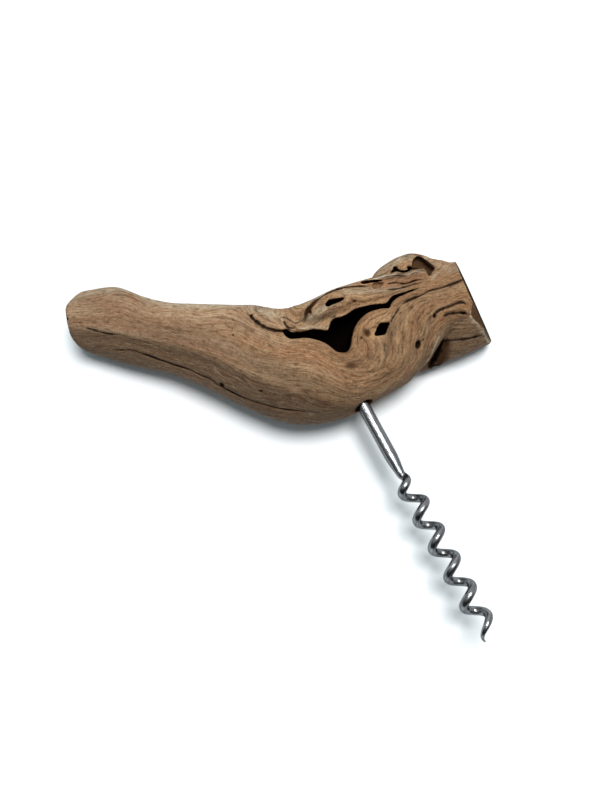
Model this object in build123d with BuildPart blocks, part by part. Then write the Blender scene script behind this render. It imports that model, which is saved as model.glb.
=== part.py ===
from build123d import *

# A straight-pull corkscrew: a steel screw set with resin in a handle of old vine wood.
#
# Millimetres. The origin is on the screw's axis where it enters the wood. -Y runs along the screw
# to its point, and +Z is up from the table that the corkscrew lies on.

import math
import os
from collections import namedtuple

# Screw
shank_radius = 2.3
shank_length = 20.0  # straight part, from the wood to the neck
neck_length = 9.5  # along which the rod is drawn down to wire
neck_straight = 7.2  # first part of the neck, which is still on the screw's axis
wire_radius = 1.45
coil_radius = 2.95  # middle of the wire to the screw's axis
coil_pitch = 10.4
coil_turns = 4.4  # at full radius
coil_phase = 180.0  # where the first full turn starts, in degrees round the screw from +X
run_in_turn = 230.0  # degrees over which the wire swings out from the axis to the coil
point_radius = 0.25
point_turn = 245.0  # degrees that the tapered point goes on round
point_draw = 1.2  # how far the point is pulled out beyond the pitch of the coil
point_curl = 0.25  # share of the coil's radius by which the point curls in
point_taper = 1.6  # power of the share of the point's turn, in which the wire gets thinner

# Anchor in the handle
tail_length = 15.0  # part of the rod that is inside the wood
groove_depth = 0.35
groove_width = 1.2
groove_spacing = 3.0
first_groove = 2.25  # from the rod's end to the middle of its first groove
resin_gap = 0.8  # from the rod to the drilled hole's wall
resin_bottom = 1.0  # from the rod's end to the bottom of the drilled hole
resin_recess = 1.2  # the resin stops this far inside the hole's mouth
drill_point_angle = 118.0

# Handle
screw_height = 18.0  # screw's axis above the table

# Stations of the trunk: middle in plan, heading of the grain in degrees, half width across the
# grain, half height, and how high the underside would be over the table if it weren't worn flat.
Station = namedtuple("Station", "x y heading half_width half_height rise")
trunk = [
    Station(-85.7, 80.4, -20, 10.9, 10.6, -0.3),
    Station(-75.3, 76.1, -21, 12.2, 11.2, -0.5),
    Station(-65.8, 70.2, -23, 14.2, 11.7, -0.1),
    Station(-57.4, 61.9, -25, 13.6, 11.7, 0.6),
    Station(-50.7, 55.9, -27, 13.6, 12.1, 1.2),
    Station(-42.5, 49.1, -30, 15.2, 13.0, 1.2),
    Station(-34.1, 41.6, -32, 17.5, 14.2, 0.9),
    Station(-25.8, 33.2, -29, 19.8, 15.6, 0.4),
    Station(-16.8, 24.0, -22, 20.4, 16.8, -0.2),
    Station(-4.2, 18.8, -11, 20.6, 17.4, -0.6),
    Station(8.8, 18.6, -5, 19.3, 17.3, -0.6),
    Station(22.0, 19.6, -1, 17.9, 16.4, -0.4),
    Station(33.5, 21.9, 2, 14.3, 15.2, -0.4),
    Station(44.5, 22.0, 2, 13.1, 14.4, -0.6),
    Station(57.0, 22.0, 2, 12.6, 13.9, -0.7),
    Station(70.0, 21.9, 2, 12.2, 13.4, -0.8),
]

# Strands that have grown over the trunk: middles of upright oval sections, half width and height
Node = namedtuple("Node", "x y z half_width half_height")
back_strand = [
    Node(-21.0, 43.2, -1.0, 3.5, 5.0),
    Node(-12.0, 38.6, 3.0, 5.6, 7.0),
    Node(-3.0, 35.8, 5.0, 6.3, 8.0),
    Node(8.0, 35.3, 5.0, 6.5, 7.8),
    Node(18.0, 34.7, 3.5, 6.5, 7.6),
    Node(28.0, 33.8, 1.5, 6.0, 8.0),
    Node(40.0, 29.0, -4.0, 4.0, 6.0),
]
front_strand = [
    Node(-10.0, 31.4, 8.6, 2.6, 4.0),
    Node(-4.0, 32.7, 10.4, 3.9, 4.2),
    Node(2.0, 33.5, 10.8, 4.3, 4.2),
    Node(8.0, 33.5, 10.8, 4.2, 4.2),
    Node(14.0, 32.6, 10.0, 3.8, 4.2),
    Node(20.0, 31.3, 9.6, 3.1, 4.2),
    Node(26.0, 29.9, 8.9, 2.5, 4.1),
    Node(32.0, 28.9, 7.2, 2.0, 3.8),
]
arm = [  # between the rift and the diamond
    Node(3.0, 17.0, 10.4, 2.0, 4.2),
    Node(9.0, 21.6, 12.0, 2.9, 4.4),
    Node(15.0, 23.0, 11.9, 3.0, 4.4),
    Node(21.0, 22.9, 11.4, 2.7, 4.4),
    Node(27.0, 24.7, 10.5, 2.2, 4.1),
    Node(33.0, 25.6, 8.9, 1.9, 3.9),
    Node(39.0, 26.0, 5.9, 1.6, 3.6),
]
heel = [  # left of the rift
    Node(-21.0, 45.4, 4.2, 3.6, 4.6),
    Node(-19.0, 42.0, 7.6, 4.2, 4.6),
    Node(-17.0, 38.8, 8.5, 4.2, 4.6),
    Node(-15.0, 35.8, 8.6, 3.6, 4.6),
    Node(-13.0, 33.0, 8.2, 2.8, 4.4),
]
band = [  # along the top, from the belly to the wide end
    Node(14.0, 8.2, 7.6, 2.4, 4.0),
    Node(20.0, 13.3, 10.3, 3.3, 4.0),
    Node(26.0, 18.3, 10.6, 3.5, 4.0),
    Node(32.0, 20.1, 9.3, 3.3, 4.0),
    Node(38.0, 20.4, 8.0, 3.1, 4.0),
    Node(44.0, 19.8, 6.8, 2.9, 4.0),
    Node(50.0, 18.6, 5.2, 2.6, 4.0),
    Node(56.0, 17.4, 3.4, 2.4, 4.0),
]
rim = [  # hangs over the lobe
    Node(24.0, 4.6, -5.6, 1.2, 2.4),
    Node(28.0, 5.4, -1.1, 1.7, 2.8),
    Node(32.0, 7.7, 2.3, 1.8, 2.8),
    Node(36.0, 9.8, 2.7, 1.7, 2.8),
    Node(40.0, 11.4, 1.8, 1.3, 2.8),
]
knob = [
    Node(20.5, 32.5, -5.2, 3.7, 5.8),
    Node(28.0, 37.2, -5.0, 6.9, 9.0),
    Node(35.5, 38.2, -4.0, 7.7, 10.0),
    Node(43.0, 37.0, -3.0, 7.8, 10.0),
    Node(49.8, 32.3, -3.5, 6.8, 9.8),
    Node(56.0, 28.3, -4.0, 6.1, 9.4),
    Node(63.0, 26.6, -4.2, 5.8, 9.2),
    Node(70.0, 26.0, -4.5, 5.8, 9.0),
]
lobe = [
    Node(24.5, 9.8, -9.0, 4.5, 4.0),
    Node(31.5, 10.8, -9.4, 7.5, 6.6),
    Node(38.5, 11.4, -8.0, 8.5, 9.0),
    Node(45.5, 11.1, -7.2, 9.1, 10.3),
    Node(52.5, 11.1, -7.1, 9.3, 10.5),
    Node(61.0, 11.4, -7.0, 9.5, 10.6),
    Node(70.0, 11.6, -7.0, 9.6, 10.8),
]

# Sawn and broken ends: a point on the cut, and the direction that it faces
ends = [
    Plane(origin=(-81.0, 78.6, -7.0), z_dir=(-0.967, 0.255, 0.0)),
    Plane(origin=(-82.9, 71.2, -8.0), z_dir=(-0.920, -0.319, -0.213)),
    Plane(origin=(56.8, 16.5, -4.0), z_dir=(0.915, -0.13, 0.385)),
]

# Hollows that rot has left, and a chip out of the sawn edge. Each one's outline is where it opens
# on the skin, at its level above the screw's axis. The floor is level too, and an outline drawn in
# by the narrowing. All of them run in aslant.
Hollow = namedtuple("Hollow", "outline level floor narrowing")
hollow_top = 20.0  # above all of the wood
slant = Vector(0.137, 0.273)  # run to +X and +Y for each millimetre down
rift = [(-15.4, 32.2), (-13.6, 28.4), (-8.3, 25.4), (-4.2, 20.9), (-1.2, 16.1), (2.0, 15.8), (5.2, 19.7)]
rift += [(9.6, 23.5), (14.9, 25.3), (20.5, 24.6), (23.6, 26.2), (17.2, 27.8), (12.0, 29.1), (7.6, 28.8)]
rift += [(2.9, 29.0), (-0.4, 26.4), (-5.0, 28.2), (-10.5, 29.6)]
diamond = [(11.8, 16.5), (14.2, 19.4), (16.6, 20.2), (20.0, 19.0), (17.4, 16.6), (14.8, 15.3)]
slot = [(2.2, 34.0), (4.3, 35.7), (9.4, 34.0), (6.0, 33.0)]
chip = [(51.1, 13.8), (50.3, 11.8), (50.4, 9.8), (51.2, 7.6), (53.7, 4.5), (60.0, 3.7), (62.9, 13.9)]
chip += [(57.1, 18.0)]
shell = [(38.9, 37.2), (41.4, 40.0), (44.2, 38.9), (46.4, 34.2), (45.6, 30.4), (43.0, 30.0), (42.2, 34.2)]
hollows = [
    Hollow(rift, 14.8, -2.0, 0.08),
    Hollow(diamond, 15.2, 5.0, 0.2),
    Hollow(slot, 15.0, 8.0, 0.3),
    Hollow(shell, 7.0, 0.0, 0.4),
    Hollow(chip, 4.0, -0.5, 0.0),
]


def coil_place(angle):
    """Middle of the wire, on an axis that points up, at degrees past the start of the full coil."""
    swing = min(max(1 + angle / run_in_turn, 0), 1)
    past = max(angle - 360 * coil_turns, 0) / point_turn
    radius = coil_radius * swing**2 * (3 - 2 * swing) * (1 - point_curl * past**2)
    full_height = shank_length + neck_straight + coil_pitch * run_in_turn / 360
    height = full_height + coil_pitch * angle / 360 + point_draw * past**2
    turn = math.radians(angle)
    return Vector(radius * math.cos(turn), radius * math.sin(turn), height)


def coil_plane(angle):
    """Plane across the wire, with its own x pointing away from the screw's axis."""
    step = 1e-5
    along = (coil_place(angle + step) - coil_place(angle - step)).normalized()
    turn = math.radians(angle)
    outward = Vector(math.cos(turn), math.sin(turn), 0)
    x_dir = outward - along * outward.dot(along)
    return Plane(origin=coil_place(angle), x_dir=x_dir, z_dir=along)


def rod_radius(height):
    """Radius of the rod at a height above the wood, from the shank to the wire."""
    share = min(max((height - shank_length) / neck_length, 0), 1)
    return shank_radius - (shank_radius - wire_radius) * share**2 * (3 - 2 * share)


def limb_plane(station):
    """Section plane of a limb, facing along the grain, with its own x across the grain."""
    turn = math.radians(station.heading)
    return Plane(
        origin=(station.x, station.y, station.rise + station.half_height - screw_height),
        x_dir=(-math.sin(turn), math.cos(turn), 0),
        z_dir=(math.cos(turn), math.sin(turn), 0),
    )


def hollow_outline(hollow, height, narrowing):
    """The hollow's outline at a height, drawn in towards its middle by a share of the distance."""
    points = [Vector(*point) + slant * (hollow.level - height) for point in hollow.outline]
    middle = sum(points, Vector()) / len(points)
    return [middle * narrowing + point * (1 - narrowing) for point in points]


# Rod: the part of the screw that turns about its own axis, with ring grooves that key its buried
# end into the resin. It stands upright, with the wood's surface at height 0.
with BuildPart() as rod:
    neck_points = [
        (rod_radius(shank_length + neck_straight * share), shank_length + neck_straight * share)
        for share in (0, 1 / 3, 2 / 3, 1)
    ]
    with BuildSketch(Plane.XZ):
        with BuildLine():
            Polyline(
                (neck_points[-1][0], neck_points[-1][1]),
                (0, neck_points[-1][1]),
                (0, -tail_length),
                (shank_radius, -tail_length),
                (shank_radius, shank_length),
            )
            Spline(*neck_points)
        make_face()
        for ring in range(int(tail_length / groove_spacing) - 1):
            with Locations((shank_radius, first_groove + groove_spacing * ring - tail_length)):
                Rectangle(2 * groove_depth, groove_width, mode=Mode.SUBTRACT)
    revolve(axis=Axis.Z)

# Worm: the rod drawn down to wire, coiled to the right and ground to a point
spans = 4  # the run-in and the point are each made in this many spans
with BuildPart() as worm:
    for span in range(spans):
        for share in (span, span + 0.5, span + 1):
            across = coil_plane(run_in_turn * (share / spans - 1))
            with BuildSketch(across):
                Circle(rod_radius(across.origin.Z))
        loft()
    with BuildLine(Plane.XY.offset(coil_place(0).Z)) as coil:
        Helix(coil_pitch, coil_pitch * coil_turns, coil_radius)
    with BuildSketch(coil_plane(0)):
        Circle(wire_radius)
    sweep(path=coil.line, is_frenet=True)
    for span in range(spans):
        for share in (span, span + 0.5, span + 1):
            taper = (share / spans) ** point_taper
            with BuildSketch(coil_plane(360 * coil_turns + point_turn * share / spans)):
                Circle(wire_radius + (point_radius - wire_radius) * taper)
        loft()

with BuildPart() as screw:
    add(rod.part.rotate(Axis.Z, coil_phase - run_in_turn).rotate(Axis.X, 90))
    add(worm.part.rotate(Axis.Z, coil_phase).rotate(Axis.X, 90))

# Drilled hole that the screw is set in, run out past the wood's surface
with BuildPart() as bore:
    bore_radius = shank_radius + resin_gap
    bore_depth = tail_length + resin_bottom
    drill_point = bore_radius / math.tan(math.radians(drill_point_angle / 2))
    with BuildSketch(Plane.XZ):
        with BuildLine():
            Polyline(
                (0, -bore_depth - drill_point),
                (bore_radius, -bore_depth),
                (bore_radius, shank_length / 2),
                (0, shank_length / 2),
                close=True,
            )
        make_face()
    revolve(axis=Axis.Z)

# Resin that fills the hole round and behind the buried end of the screw
with BuildPart() as resin_bed:
    add(bore.part.rotate(Axis.X, 90))
    split(bisect_by=Plane.XZ.offset(-resin_recess), keep=Keep.BOTTOM)
    add(rod.part.rotate(Axis.X, 90), mode=Mode.SUBTRACT)

# Handle: one length of old vine, a trunk with strands grown over it
with BuildPart() as handle:
    for station in trunk:
        with BuildSketch(limb_plane(station)):
            Ellipse(station.half_width, station.half_height)
    loft()
    for strand in (back_strand, heel, knob, lobe, front_strand, arm, band, rim):
        for node in strand:
            section = Plane(origin=(node.x, node.y, node.z), x_dir=(0, 1, 0), z_dir=(1, 0, 0))
            with BuildSketch(section):
                Ellipse(node.half_width, node.half_height)
        loft()
    for end in ends:
        split(bisect_by=end, keep=Keep.BOTTOM)
    split(bisect_by=Plane.XY.offset(-screw_height), keep=Keep.TOP)
    for hollow in hollows:
        for height, narrowing in ((hollow_top, 0), (hollow.floor, hollow.narrowing)):
            with BuildSketch(Plane.XY.offset(height)):
                with BuildLine():
                    Spline(*hollow_outline(hollow, height, narrowing), periodic=True)
                make_face()
        loft(mode=Mode.SUBTRACT)
    add(bore.part.rotate(Axis.X, 90), mode=Mode.SUBTRACT)

os.makedirs("parts", exist_ok=True)
for name, piece in (("handle", handle), ("screw", screw), ("resin_bed", resin_bed)):
    piece.part.label = name
    export_step(piece.part, f"parts/{name}.step")
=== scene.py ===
import math
import bmesh
import bpy
import numpy as np
from mathutils import Matrix


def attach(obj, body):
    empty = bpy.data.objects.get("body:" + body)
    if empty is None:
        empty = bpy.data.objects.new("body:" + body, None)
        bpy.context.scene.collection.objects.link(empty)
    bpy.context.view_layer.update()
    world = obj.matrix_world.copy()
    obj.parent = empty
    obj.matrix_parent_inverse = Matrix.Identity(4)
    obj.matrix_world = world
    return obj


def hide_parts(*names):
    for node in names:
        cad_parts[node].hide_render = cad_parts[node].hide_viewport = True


# A corkscrew with a handle of gnarled old vine wood. Lengths in the dictionaries are millimetres in
# the row's own axes, and meshes are made in metres.

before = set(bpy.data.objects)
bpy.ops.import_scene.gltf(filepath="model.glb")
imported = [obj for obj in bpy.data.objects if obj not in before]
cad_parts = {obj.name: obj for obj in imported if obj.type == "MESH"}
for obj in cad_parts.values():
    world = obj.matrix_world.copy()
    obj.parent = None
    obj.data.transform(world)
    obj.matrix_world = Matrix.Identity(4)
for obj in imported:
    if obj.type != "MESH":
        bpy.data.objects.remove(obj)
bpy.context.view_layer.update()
scene = bpy.context.scene
millimetre = 0.001
tableHeight = -18.0  # under the screw's axis


# Small tools that the pieces share


def easeStep(value):
    # 0 below 0, 1 above 1, and 3t^2 - 2t^3 between them
    t = np.clip(value, 0, 1)
    return t * t * (3 - 2 * t)


def hermiteCurve(points, spacing):
    # Each column is a cubic through the points with the slopes of its neighbours' chords, read at
    # even steps along the first two columns. It is worked out finer than the steps first.
    finer = 4
    p = np.array(points, float)
    if len(p) == 2:
        p = np.vstack([p[0], p.mean(0), p[1]])
    chord = np.hypot(*np.diff(p[:, :2], axis=0).T)
    t = np.concatenate([[0], np.cumsum(np.maximum(chord, 1e-6))])
    slope = np.gradient(p, t, axis=0)
    q = np.linspace(0, t[-1], max(int(t[-1] / spacing), 2) * finer + 1)
    i = np.clip(np.searchsorted(t, q, "right") - 1, 0, len(t) - 2)
    h = (t[i + 1] - t[i])[:, None]
    f = (q - t[i])[:, None] / h
    fine = (
        p[i] * (1 + 2 * f) * (1 - f) ** 2
        + slope[i] * h * f * (1 - f) ** 2
        + p[i + 1] * f**2 * (3 - 2 * f)
        + slope[i + 1] * h * f**2 * (f - 1)
    )
    run = np.concatenate([[0], np.cumsum(np.hypot(*np.diff(fine[:, :2], axis=0).T))])
    even = np.linspace(0, run[-1], max(int(run[-1] / spacing), 2) + 1)
    return np.stack([np.interp(even, run, column) for column in fine.T], 1), even


def latticeNoise(u, v, seed):
    # A random value at each whole (u, v), eased between its four neighbours: -1 to 1
    side = 256
    table = np.random.default_rng(seed).uniform(-1, 1, (side, side)).astype(np.float32)
    iu, iv = np.floor(u).astype(int), np.floor(v).astype(int)
    fu, fv = easeStep(u - iu), easeStep(v - iv)
    a, b = table[iu % side, iv % side], table[(iu + 1) % side, iv % side]
    c, d = table[iu % side, (iv + 1) % side], table[(iu + 1) % side, (iv + 1) % side]
    return (a * (1 - fu) + b * fu) * (1 - fv) + (c * (1 - fu) + d * fu) * fv


def readTable(values, u, v, kind):
    # A table's value between its rows and columns, shared out over the four nearest ones
    u = np.clip(u, 0, values.shape[0] - 1.001)
    v = np.clip(v, 0, values.shape[1] - 1.001)
    iu, iv = u.astype(np.int32), v.astype(np.int32)
    fu, fv = (u - iu).astype(kind), (v - iv).astype(kind)
    low = values[iu, iv] * (1 - fu) + values[iu + 1, iv] * fu
    high = values[iu, iv + 1] * (1 - fu) + values[iu + 1, iv + 1] * fu
    return low * (1 - fv) + high * fv


def softMin(a, b, blend):
    # The lower of two distances, rounded off where they differ by less than blend
    h = np.clip(0.5 + 0.5 * (b - a) / blend, 0, 1)
    return b + (a - b) * h - blend * h * (1 - h)


def softMax(a, b, blend):
    return -softMin(-a, -b, blend)


def ovalDistance(across, height, halfWidth, halfHeight):
    # k0 (k0 - 1) / k1, with k0 the length of p/r and k1 the length of p/r^2: nearly the distance
    # from p to an ellipse of half axes r
    k0 = np.sqrt((across / halfWidth) ** 2 + (height / halfHeight) ** 2)
    k1 = np.sqrt((across / halfWidth**2) ** 2 + (height / halfHeight**2) ** 2)
    return (k0 * (k0 - 1) / np.maximum(k1, 1e-3)).astype(np.float32)


def lineDistance(px, py, line, reach):
    # Signed distance from each point to a line of short segments, its sign the side that the point
    # is on, and the place along the line from 0 to 1. Points beyond reach keep reach.
    best = np.full(px.shape, reach, np.float32)
    side = np.ones(px.shape, np.float32)
    place = np.zeros(px.shape, np.float32)
    lo, hi = line.min(0) - reach, line.max(0) + reach
    near = (px > lo[0]) & (px < hi[0]) & (py > lo[1]) & (py < hi[1])
    if not near.any():
        return best, place
    x, y = px[near], py[near]
    b, s, w = best[near], side[near], place[near]
    run = np.concatenate([[0], np.cumsum(np.hypot(*np.diff(line, axis=0).T))])
    for i in range(len(line) - 1):
        ex, ey = line[i + 1] - line[i]
        square = max(ex * ex + ey * ey, 1e-9)
        t = np.clip(((x - line[i, 0]) * ex + (y - line[i, 1]) * ey) / square, 0, 1)
        dx, dy = x - line[i, 0] - ex * t, y - line[i, 1] - ey * t
        gap = np.hypot(dx, dy)
        closer = gap < b
        b = np.where(closer, gap, b)
        s = np.where(closer, np.sign(ex * dy - ey * dx + 1e-9), s)
        w = np.where(closer, (run[i] + t * (run[i + 1] - run[i])) / run[-1], w)
    best[near], side[near], place[near] = b, s, w
    return best * side, place


def outlineDistance(px, py, outline):
    # Signed distance to a closed smooth outline, negative inside, whichever way round it is given
    spacing, reach = 0.8, 12.0
    p = np.array(outline, float)
    ring, _ = hermiteCurve(np.vstack([p[-2:], p, p[:2]]), spacing)
    first = np.argmin(np.hypot(*(ring[: len(ring) // 2] - p[0]).T))
    last = len(ring) // 2 + np.argmin(np.hypot(*(ring[len(ring) // 2 :] - p[0]).T))
    ring = np.vstack([ring[first:last], ring[first]])
    gap = np.abs(lineDistance(px, py, ring, reach)[0])
    inside = np.zeros(px.shape, bool)
    for (x0, y0), (x1, y1) in zip(ring[:-1], ring[1:]):
        if y0 != y1:
            crosses = (py > min(y0, y1)) & (py <= max(y0, y1))
            inside ^= crosses & (px < x0 + (py - y0) * (x1 - x0) / (y1 - y0))
    return np.where(inside, -gap, gap).astype(np.float32)


# Node helpers: each adds a node to a tree and hands on its output


def newMaterial(name):
    material = bpy.data.materials.new(name)
    material.use_nodes = True
    return material, material.node_tree, material.node_tree.nodes["Principled BSDF"]


def plug(tree, socket, value):
    # A number or a colour is typed in, and another node's output is linked
    if isinstance(value, (int, float, tuple)):
        socket.default_value = value
    else:
        tree.links.new(value, socket)


def readValue(tree, name):
    node = tree.nodes.new("ShaderNodeAttribute")
    node.attribute_name = name
    return node.outputs["Fac"]


def joinVector(tree, x, y, z):
    node = tree.nodes.new("ShaderNodeCombineXYZ")
    for socket, value in zip(node.inputs, (x, y, z)):
        plug(tree, socket, value)
    return node.outputs[0]


def maths(tree, operation, a, b=0.0, clamp=False):
    node = tree.nodes.new("ShaderNodeMath")
    node.operation = operation
    node.use_clamp = clamp
    for socket, value in zip(node.inputs, (a, b)):
        plug(tree, socket, value)
    return node.outputs[0]


def rangeOf(tree, value, low, high, toLow=0.0, toHigh=1.0, smooth=True):
    node = tree.nodes.new("ShaderNodeMapRange")
    node.interpolation_type = "SMOOTHSTEP" if smooth else "LINEAR"
    tree.links.new(value, node.inputs["Value"])
    for name, limit in (("From Min", low), ("From Max", high), ("To Min", toLow), ("To Max", toHigh)):
        node.inputs[name].default_value = limit
    return node.outputs["Result"]


def noiseOf(tree, vector, scale, detail, roughness, distortion=0.0):
    node = tree.nodes.new("ShaderNodeTexNoise")
    tree.links.new(vector, node.inputs["Vector"])
    node.inputs["Scale"].default_value = scale
    node.inputs["Detail"].default_value = detail
    node.inputs["Roughness"].default_value = roughness
    node.inputs["Distortion"].default_value = distortion
    return node.outputs["Fac"]


def mixColour(tree, share, a, b, blend="MIX"):
    node = tree.nodes.new("ShaderNodeMix")
    node.data_type = "RGBA"
    node.blend_type = blend
    for number, value in ((0, share), (6, a), (7, b)):  # the mix node's sockets for colours
        plug(tree, node.inputs[number], value)
    return node.outputs[2]


def mixValue(tree, share, a, b):
    node = tree.nodes.new("ShaderNodeMix")
    for number, value in ((0, share), (2, a), (3, b)):  # its sockets for numbers
        plug(tree, node.inputs[number], value)
    return node.outputs[0]


def scaleColour(tree, colour, share):
    node = tree.nodes.new("ShaderNodeVectorMath")
    node.operation = "SCALE"
    tree.links.new(colour, node.inputs[0])
    tree.links.new(share, node.inputs["Scale"])
    return node.outputs[0]


def bumpOf(tree, height, strength, distance):
    node = tree.nodes.new("ShaderNodeBump")
    node.inputs["Strength"].default_value = strength
    node.inputs["Distance"].default_value = distance
    tree.links.new(height, node.inputs["Height"])
    return node.outputs[0]


def paint(red, green, blue):
    # A colour as an eye reads it, 0 to 255, turned into the linear light that a shader wants: a
    # straight line near black, and a power of 2.4 above it
    shares = [level / 255 for level in (red, green, blue)]
    return tuple(s / 12.92 if s < 0.0431 else ((s + 0.055) / 1.055) ** 2.4 for s in shares) + (1,)


def smoothAll(mesh):
    mesh.polygons.foreach_set("use_smooth", np.ones(len(mesh.polygons), bool))


def meshObject(name, points, faces):
    # All faces have as many sides as faces has columns
    mesh = bpy.data.meshes.new(name)
    mesh.vertices.add(len(points))
    mesh.vertices.foreach_set("co", np.ascontiguousarray(points, np.float32).ravel())
    mesh.loops.add(faces.size)
    mesh.loops.foreach_set("vertex_index", np.ascontiguousarray(faces, np.int32).ravel())
    mesh.polygons.add(len(faces))
    starts = np.arange(0, faces.size, faces.shape[1], dtype=np.int32)
    mesh.polygons.foreach_set("loop_start", starts)
    mesh.update(calc_edges=True)
    mesh.validate()
    smoothAll(mesh)
    thing = bpy.data.objects.new(name, mesh)
    scene.collection.objects.link(thing)
    return thing


def setValues(thing, name, values):
    # A number at each vertex, for the material to read
    attribute = thing.data.attributes.new(name, "FLOAT", "POINT")
    attribute.data.foreach_set("value", np.ascontiguousarray(values, np.float32))


def readVectors(mesh, name):
    # The vertices' places or normals, a row for each
    flat = np.empty(len(mesh.vertices) * 3, np.float32)
    mesh.vertices.foreach_get(name, flat)
    return flat.reshape(-1, 3)


# Camera, table and light

viewing = {
    "lookAt": (-19.03, 11.55, 0.0),
    "distance": 260.0,
    "lean": 17.0,  # degrees from straight above
    "turn": 26.6,  # degrees that the view is turned round the upright
    "lens": 33.05,
}
lean, turn = math.radians(viewing["lean"]), math.radians(viewing["turn"])
rightWay = np.array([math.cos(turn), -math.sin(turn), 0])
levelWay = np.array([math.sin(turn), math.cos(turn), 0])
eyeWay = np.array([0, 0, math.cos(lean)]) - levelWay * math.sin(lean)
upWay = levelWay * math.cos(lean) + np.array([0, 0, math.sin(lean)])


def placeFacing(thing, place, sideways, upwards, backwards):
    # The thing looks along minus backwards, from a place in millimetres
    matrix = np.eye(4)
    matrix[:3, 0], matrix[:3, 1], matrix[:3, 2] = sideways, upwards, backwards
    matrix[:3, 3] = place * millimetre
    thing.matrix_world = Matrix(matrix)


def makeCamera():
    data = bpy.data.cameras.new("camera")
    data.lens = viewing["lens"]
    data.clip_start, data.clip_end = 0.01, 20
    camera = bpy.data.objects.new("camera", data)
    scene.collection.objects.link(camera)
    place = np.array(viewing["lookAt"]) + eyeWay * viewing["distance"]
    placeFacing(camera, place, rightWay, upWay, eyeWay)
    scene.camera = camera
    scene.view_settings.view_transform = "Standard"


stage = {
    "tableHalfSide": 270.0,
    "tableColour": (0.86, 0.875, 0.88, 1),
    "tableGlow": 0.02,  # added for the camera, so that open paper is white
    "brightWay": (0.8, 0.6),  # the room's brighter side: towards the top of the view, and upwards
    "brightSpan": (-0.35, 0.95),  # how far a way points to that side where the room is dim and bright
    "roomColour": (1, 1, 1, 1),
    "roomLight": (0.03, 0.92),  # dim and bright, as steel mirrors it
    "skyColour": (0.80, 1.0, 1.10, 1),
    "skyLight": (0.10, 0.42),  # dim and bright, as it lights matt things
    "lampHeight": 900.0,
    "lampBack": 55.0,  # towards the top of the view
    "lampSide": 90.0,
    "lampSize": 400.0,
    "lampPower": 9.2,
}


def rayKinds(tree):
    # 1 for rays that look, straight or through glass, for rays from polished surfaces, and for both
    path = tree.nodes.new("ShaderNodeLightPath")
    mirrored = path.outputs["Is Glossy Ray"]
    seen = maths(tree, "MAXIMUM", path.outputs["Is Camera Ray"], path.outputs["Is Transmission Ray"])
    return seen, mirrored, maths(tree, "MAXIMUM", seen, mirrored)


def makeTable():
    half, z = stage["tableHalfSide"] * millimetre, tableHeight * millimetre
    mesh = bpy.data.meshes.new("table")
    corners = [(-half, -half, z), (half, -half, z), (half, half, z), (-half, half, z)]
    mesh.from_pydata(corners, [], [(0, 1, 2, 3)])
    table = bpy.data.objects.new("table", mesh)
    scene.collection.objects.link(table)
    material = bpy.data.materials.new("white_paper")
    material.use_nodes = True
    tree = material.node_tree
    tree.nodes.clear()
    output = tree.nodes.new("ShaderNodeOutputMaterial")
    matt = tree.nodes.new("ShaderNodeBsdfDiffuse")
    matt.inputs["Color"].default_value = stage["tableColour"]
    glow = tree.nodes.new("ShaderNodeEmission")
    _, _, shown = rayKinds(tree)
    tree.links.new(maths(tree, "MULTIPLY", shown, stage["tableGlow"]), glow.inputs["Strength"])
    both = tree.nodes.new("ShaderNodeAddShader")
    tree.links.new(matt.outputs[0], both.inputs[0])
    tree.links.new(glow.outputs[0], both.inputs[1])
    tree.links.new(both.outputs[0], output.inputs["Surface"])
    mesh.materials.append(material)


def makeRoom():
    # White to look at, lit from the side of the window and dim on the other side
    world = bpy.data.worlds.new("white_room")
    scene.world = world
    world.use_nodes = True
    tree = world.node_tree
    tree.nodes.clear()
    output = tree.nodes.new("ShaderNodeOutputWorld")
    sky = tree.nodes.new("ShaderNodeBackground")
    seen, mirrored, shown = rayKinds(tree)
    tree.links.new(mixColour(tree, shown, stage["skyColour"], stage["roomColour"]), sky.inputs["Color"])
    level, up = stage["brightWay"]
    towards = tree.nodes.new("ShaderNodeVectorMath")
    towards.operation = "DOT_PRODUCT"
    tree.links.new(tree.nodes.new("ShaderNodeTexCoord").outputs["Generated"], towards.inputs[0])
    towards.inputs[1].default_value = tuple(levelWay * level + np.array([0, 0, up]))
    room = rangeOf(tree, towards.outputs["Value"], *stage["brightSpan"], *stage["roomLight"])
    soft = rangeOf(tree, towards.outputs["Value"], *stage["brightSpan"], *stage["skyLight"])
    strength = mixValue(tree, seen, mixValue(tree, mirrored, soft, room), 1)
    tree.links.new(strength, sky.inputs["Strength"])
    tree.links.new(sky.outputs[0], output.inputs["Surface"])


def makeLamp():
    light = bpy.data.lights.new("soft_window", "AREA")
    light.shape = "DISK"
    light.size = stage["lampSize"] * millimetre
    light.energy = stage["lampPower"]
    lamp = bpy.data.objects.new("soft_window", light)
    scene.collection.objects.link(lamp)
    place = np.array(viewing["lookAt"]) + levelWay * stage["lampBack"] + rightWay * stage["lampSide"]
    place[2] = stage["lampHeight"]
    away = place / np.linalg.norm(place)
    sideways = np.cross([0, 0, 1], away)
    sideways /= np.linalg.norm(sideways)
    placeFacing(lamp, place, sideways, np.cross(away, sideways), away)


makeCamera()
makeTable()
makeRoom()
makeLamp()
print("camera, table and light made")


# The wood, as a field of distances from its skin

woodGrid = {
    "low": (-85.6, -4.4, -18.9),
    "high": (64.8, 90.4, 18.6),
    "step": 0.30,
    "quickStep": 0.6,
    "triangles": 190000,
}

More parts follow.
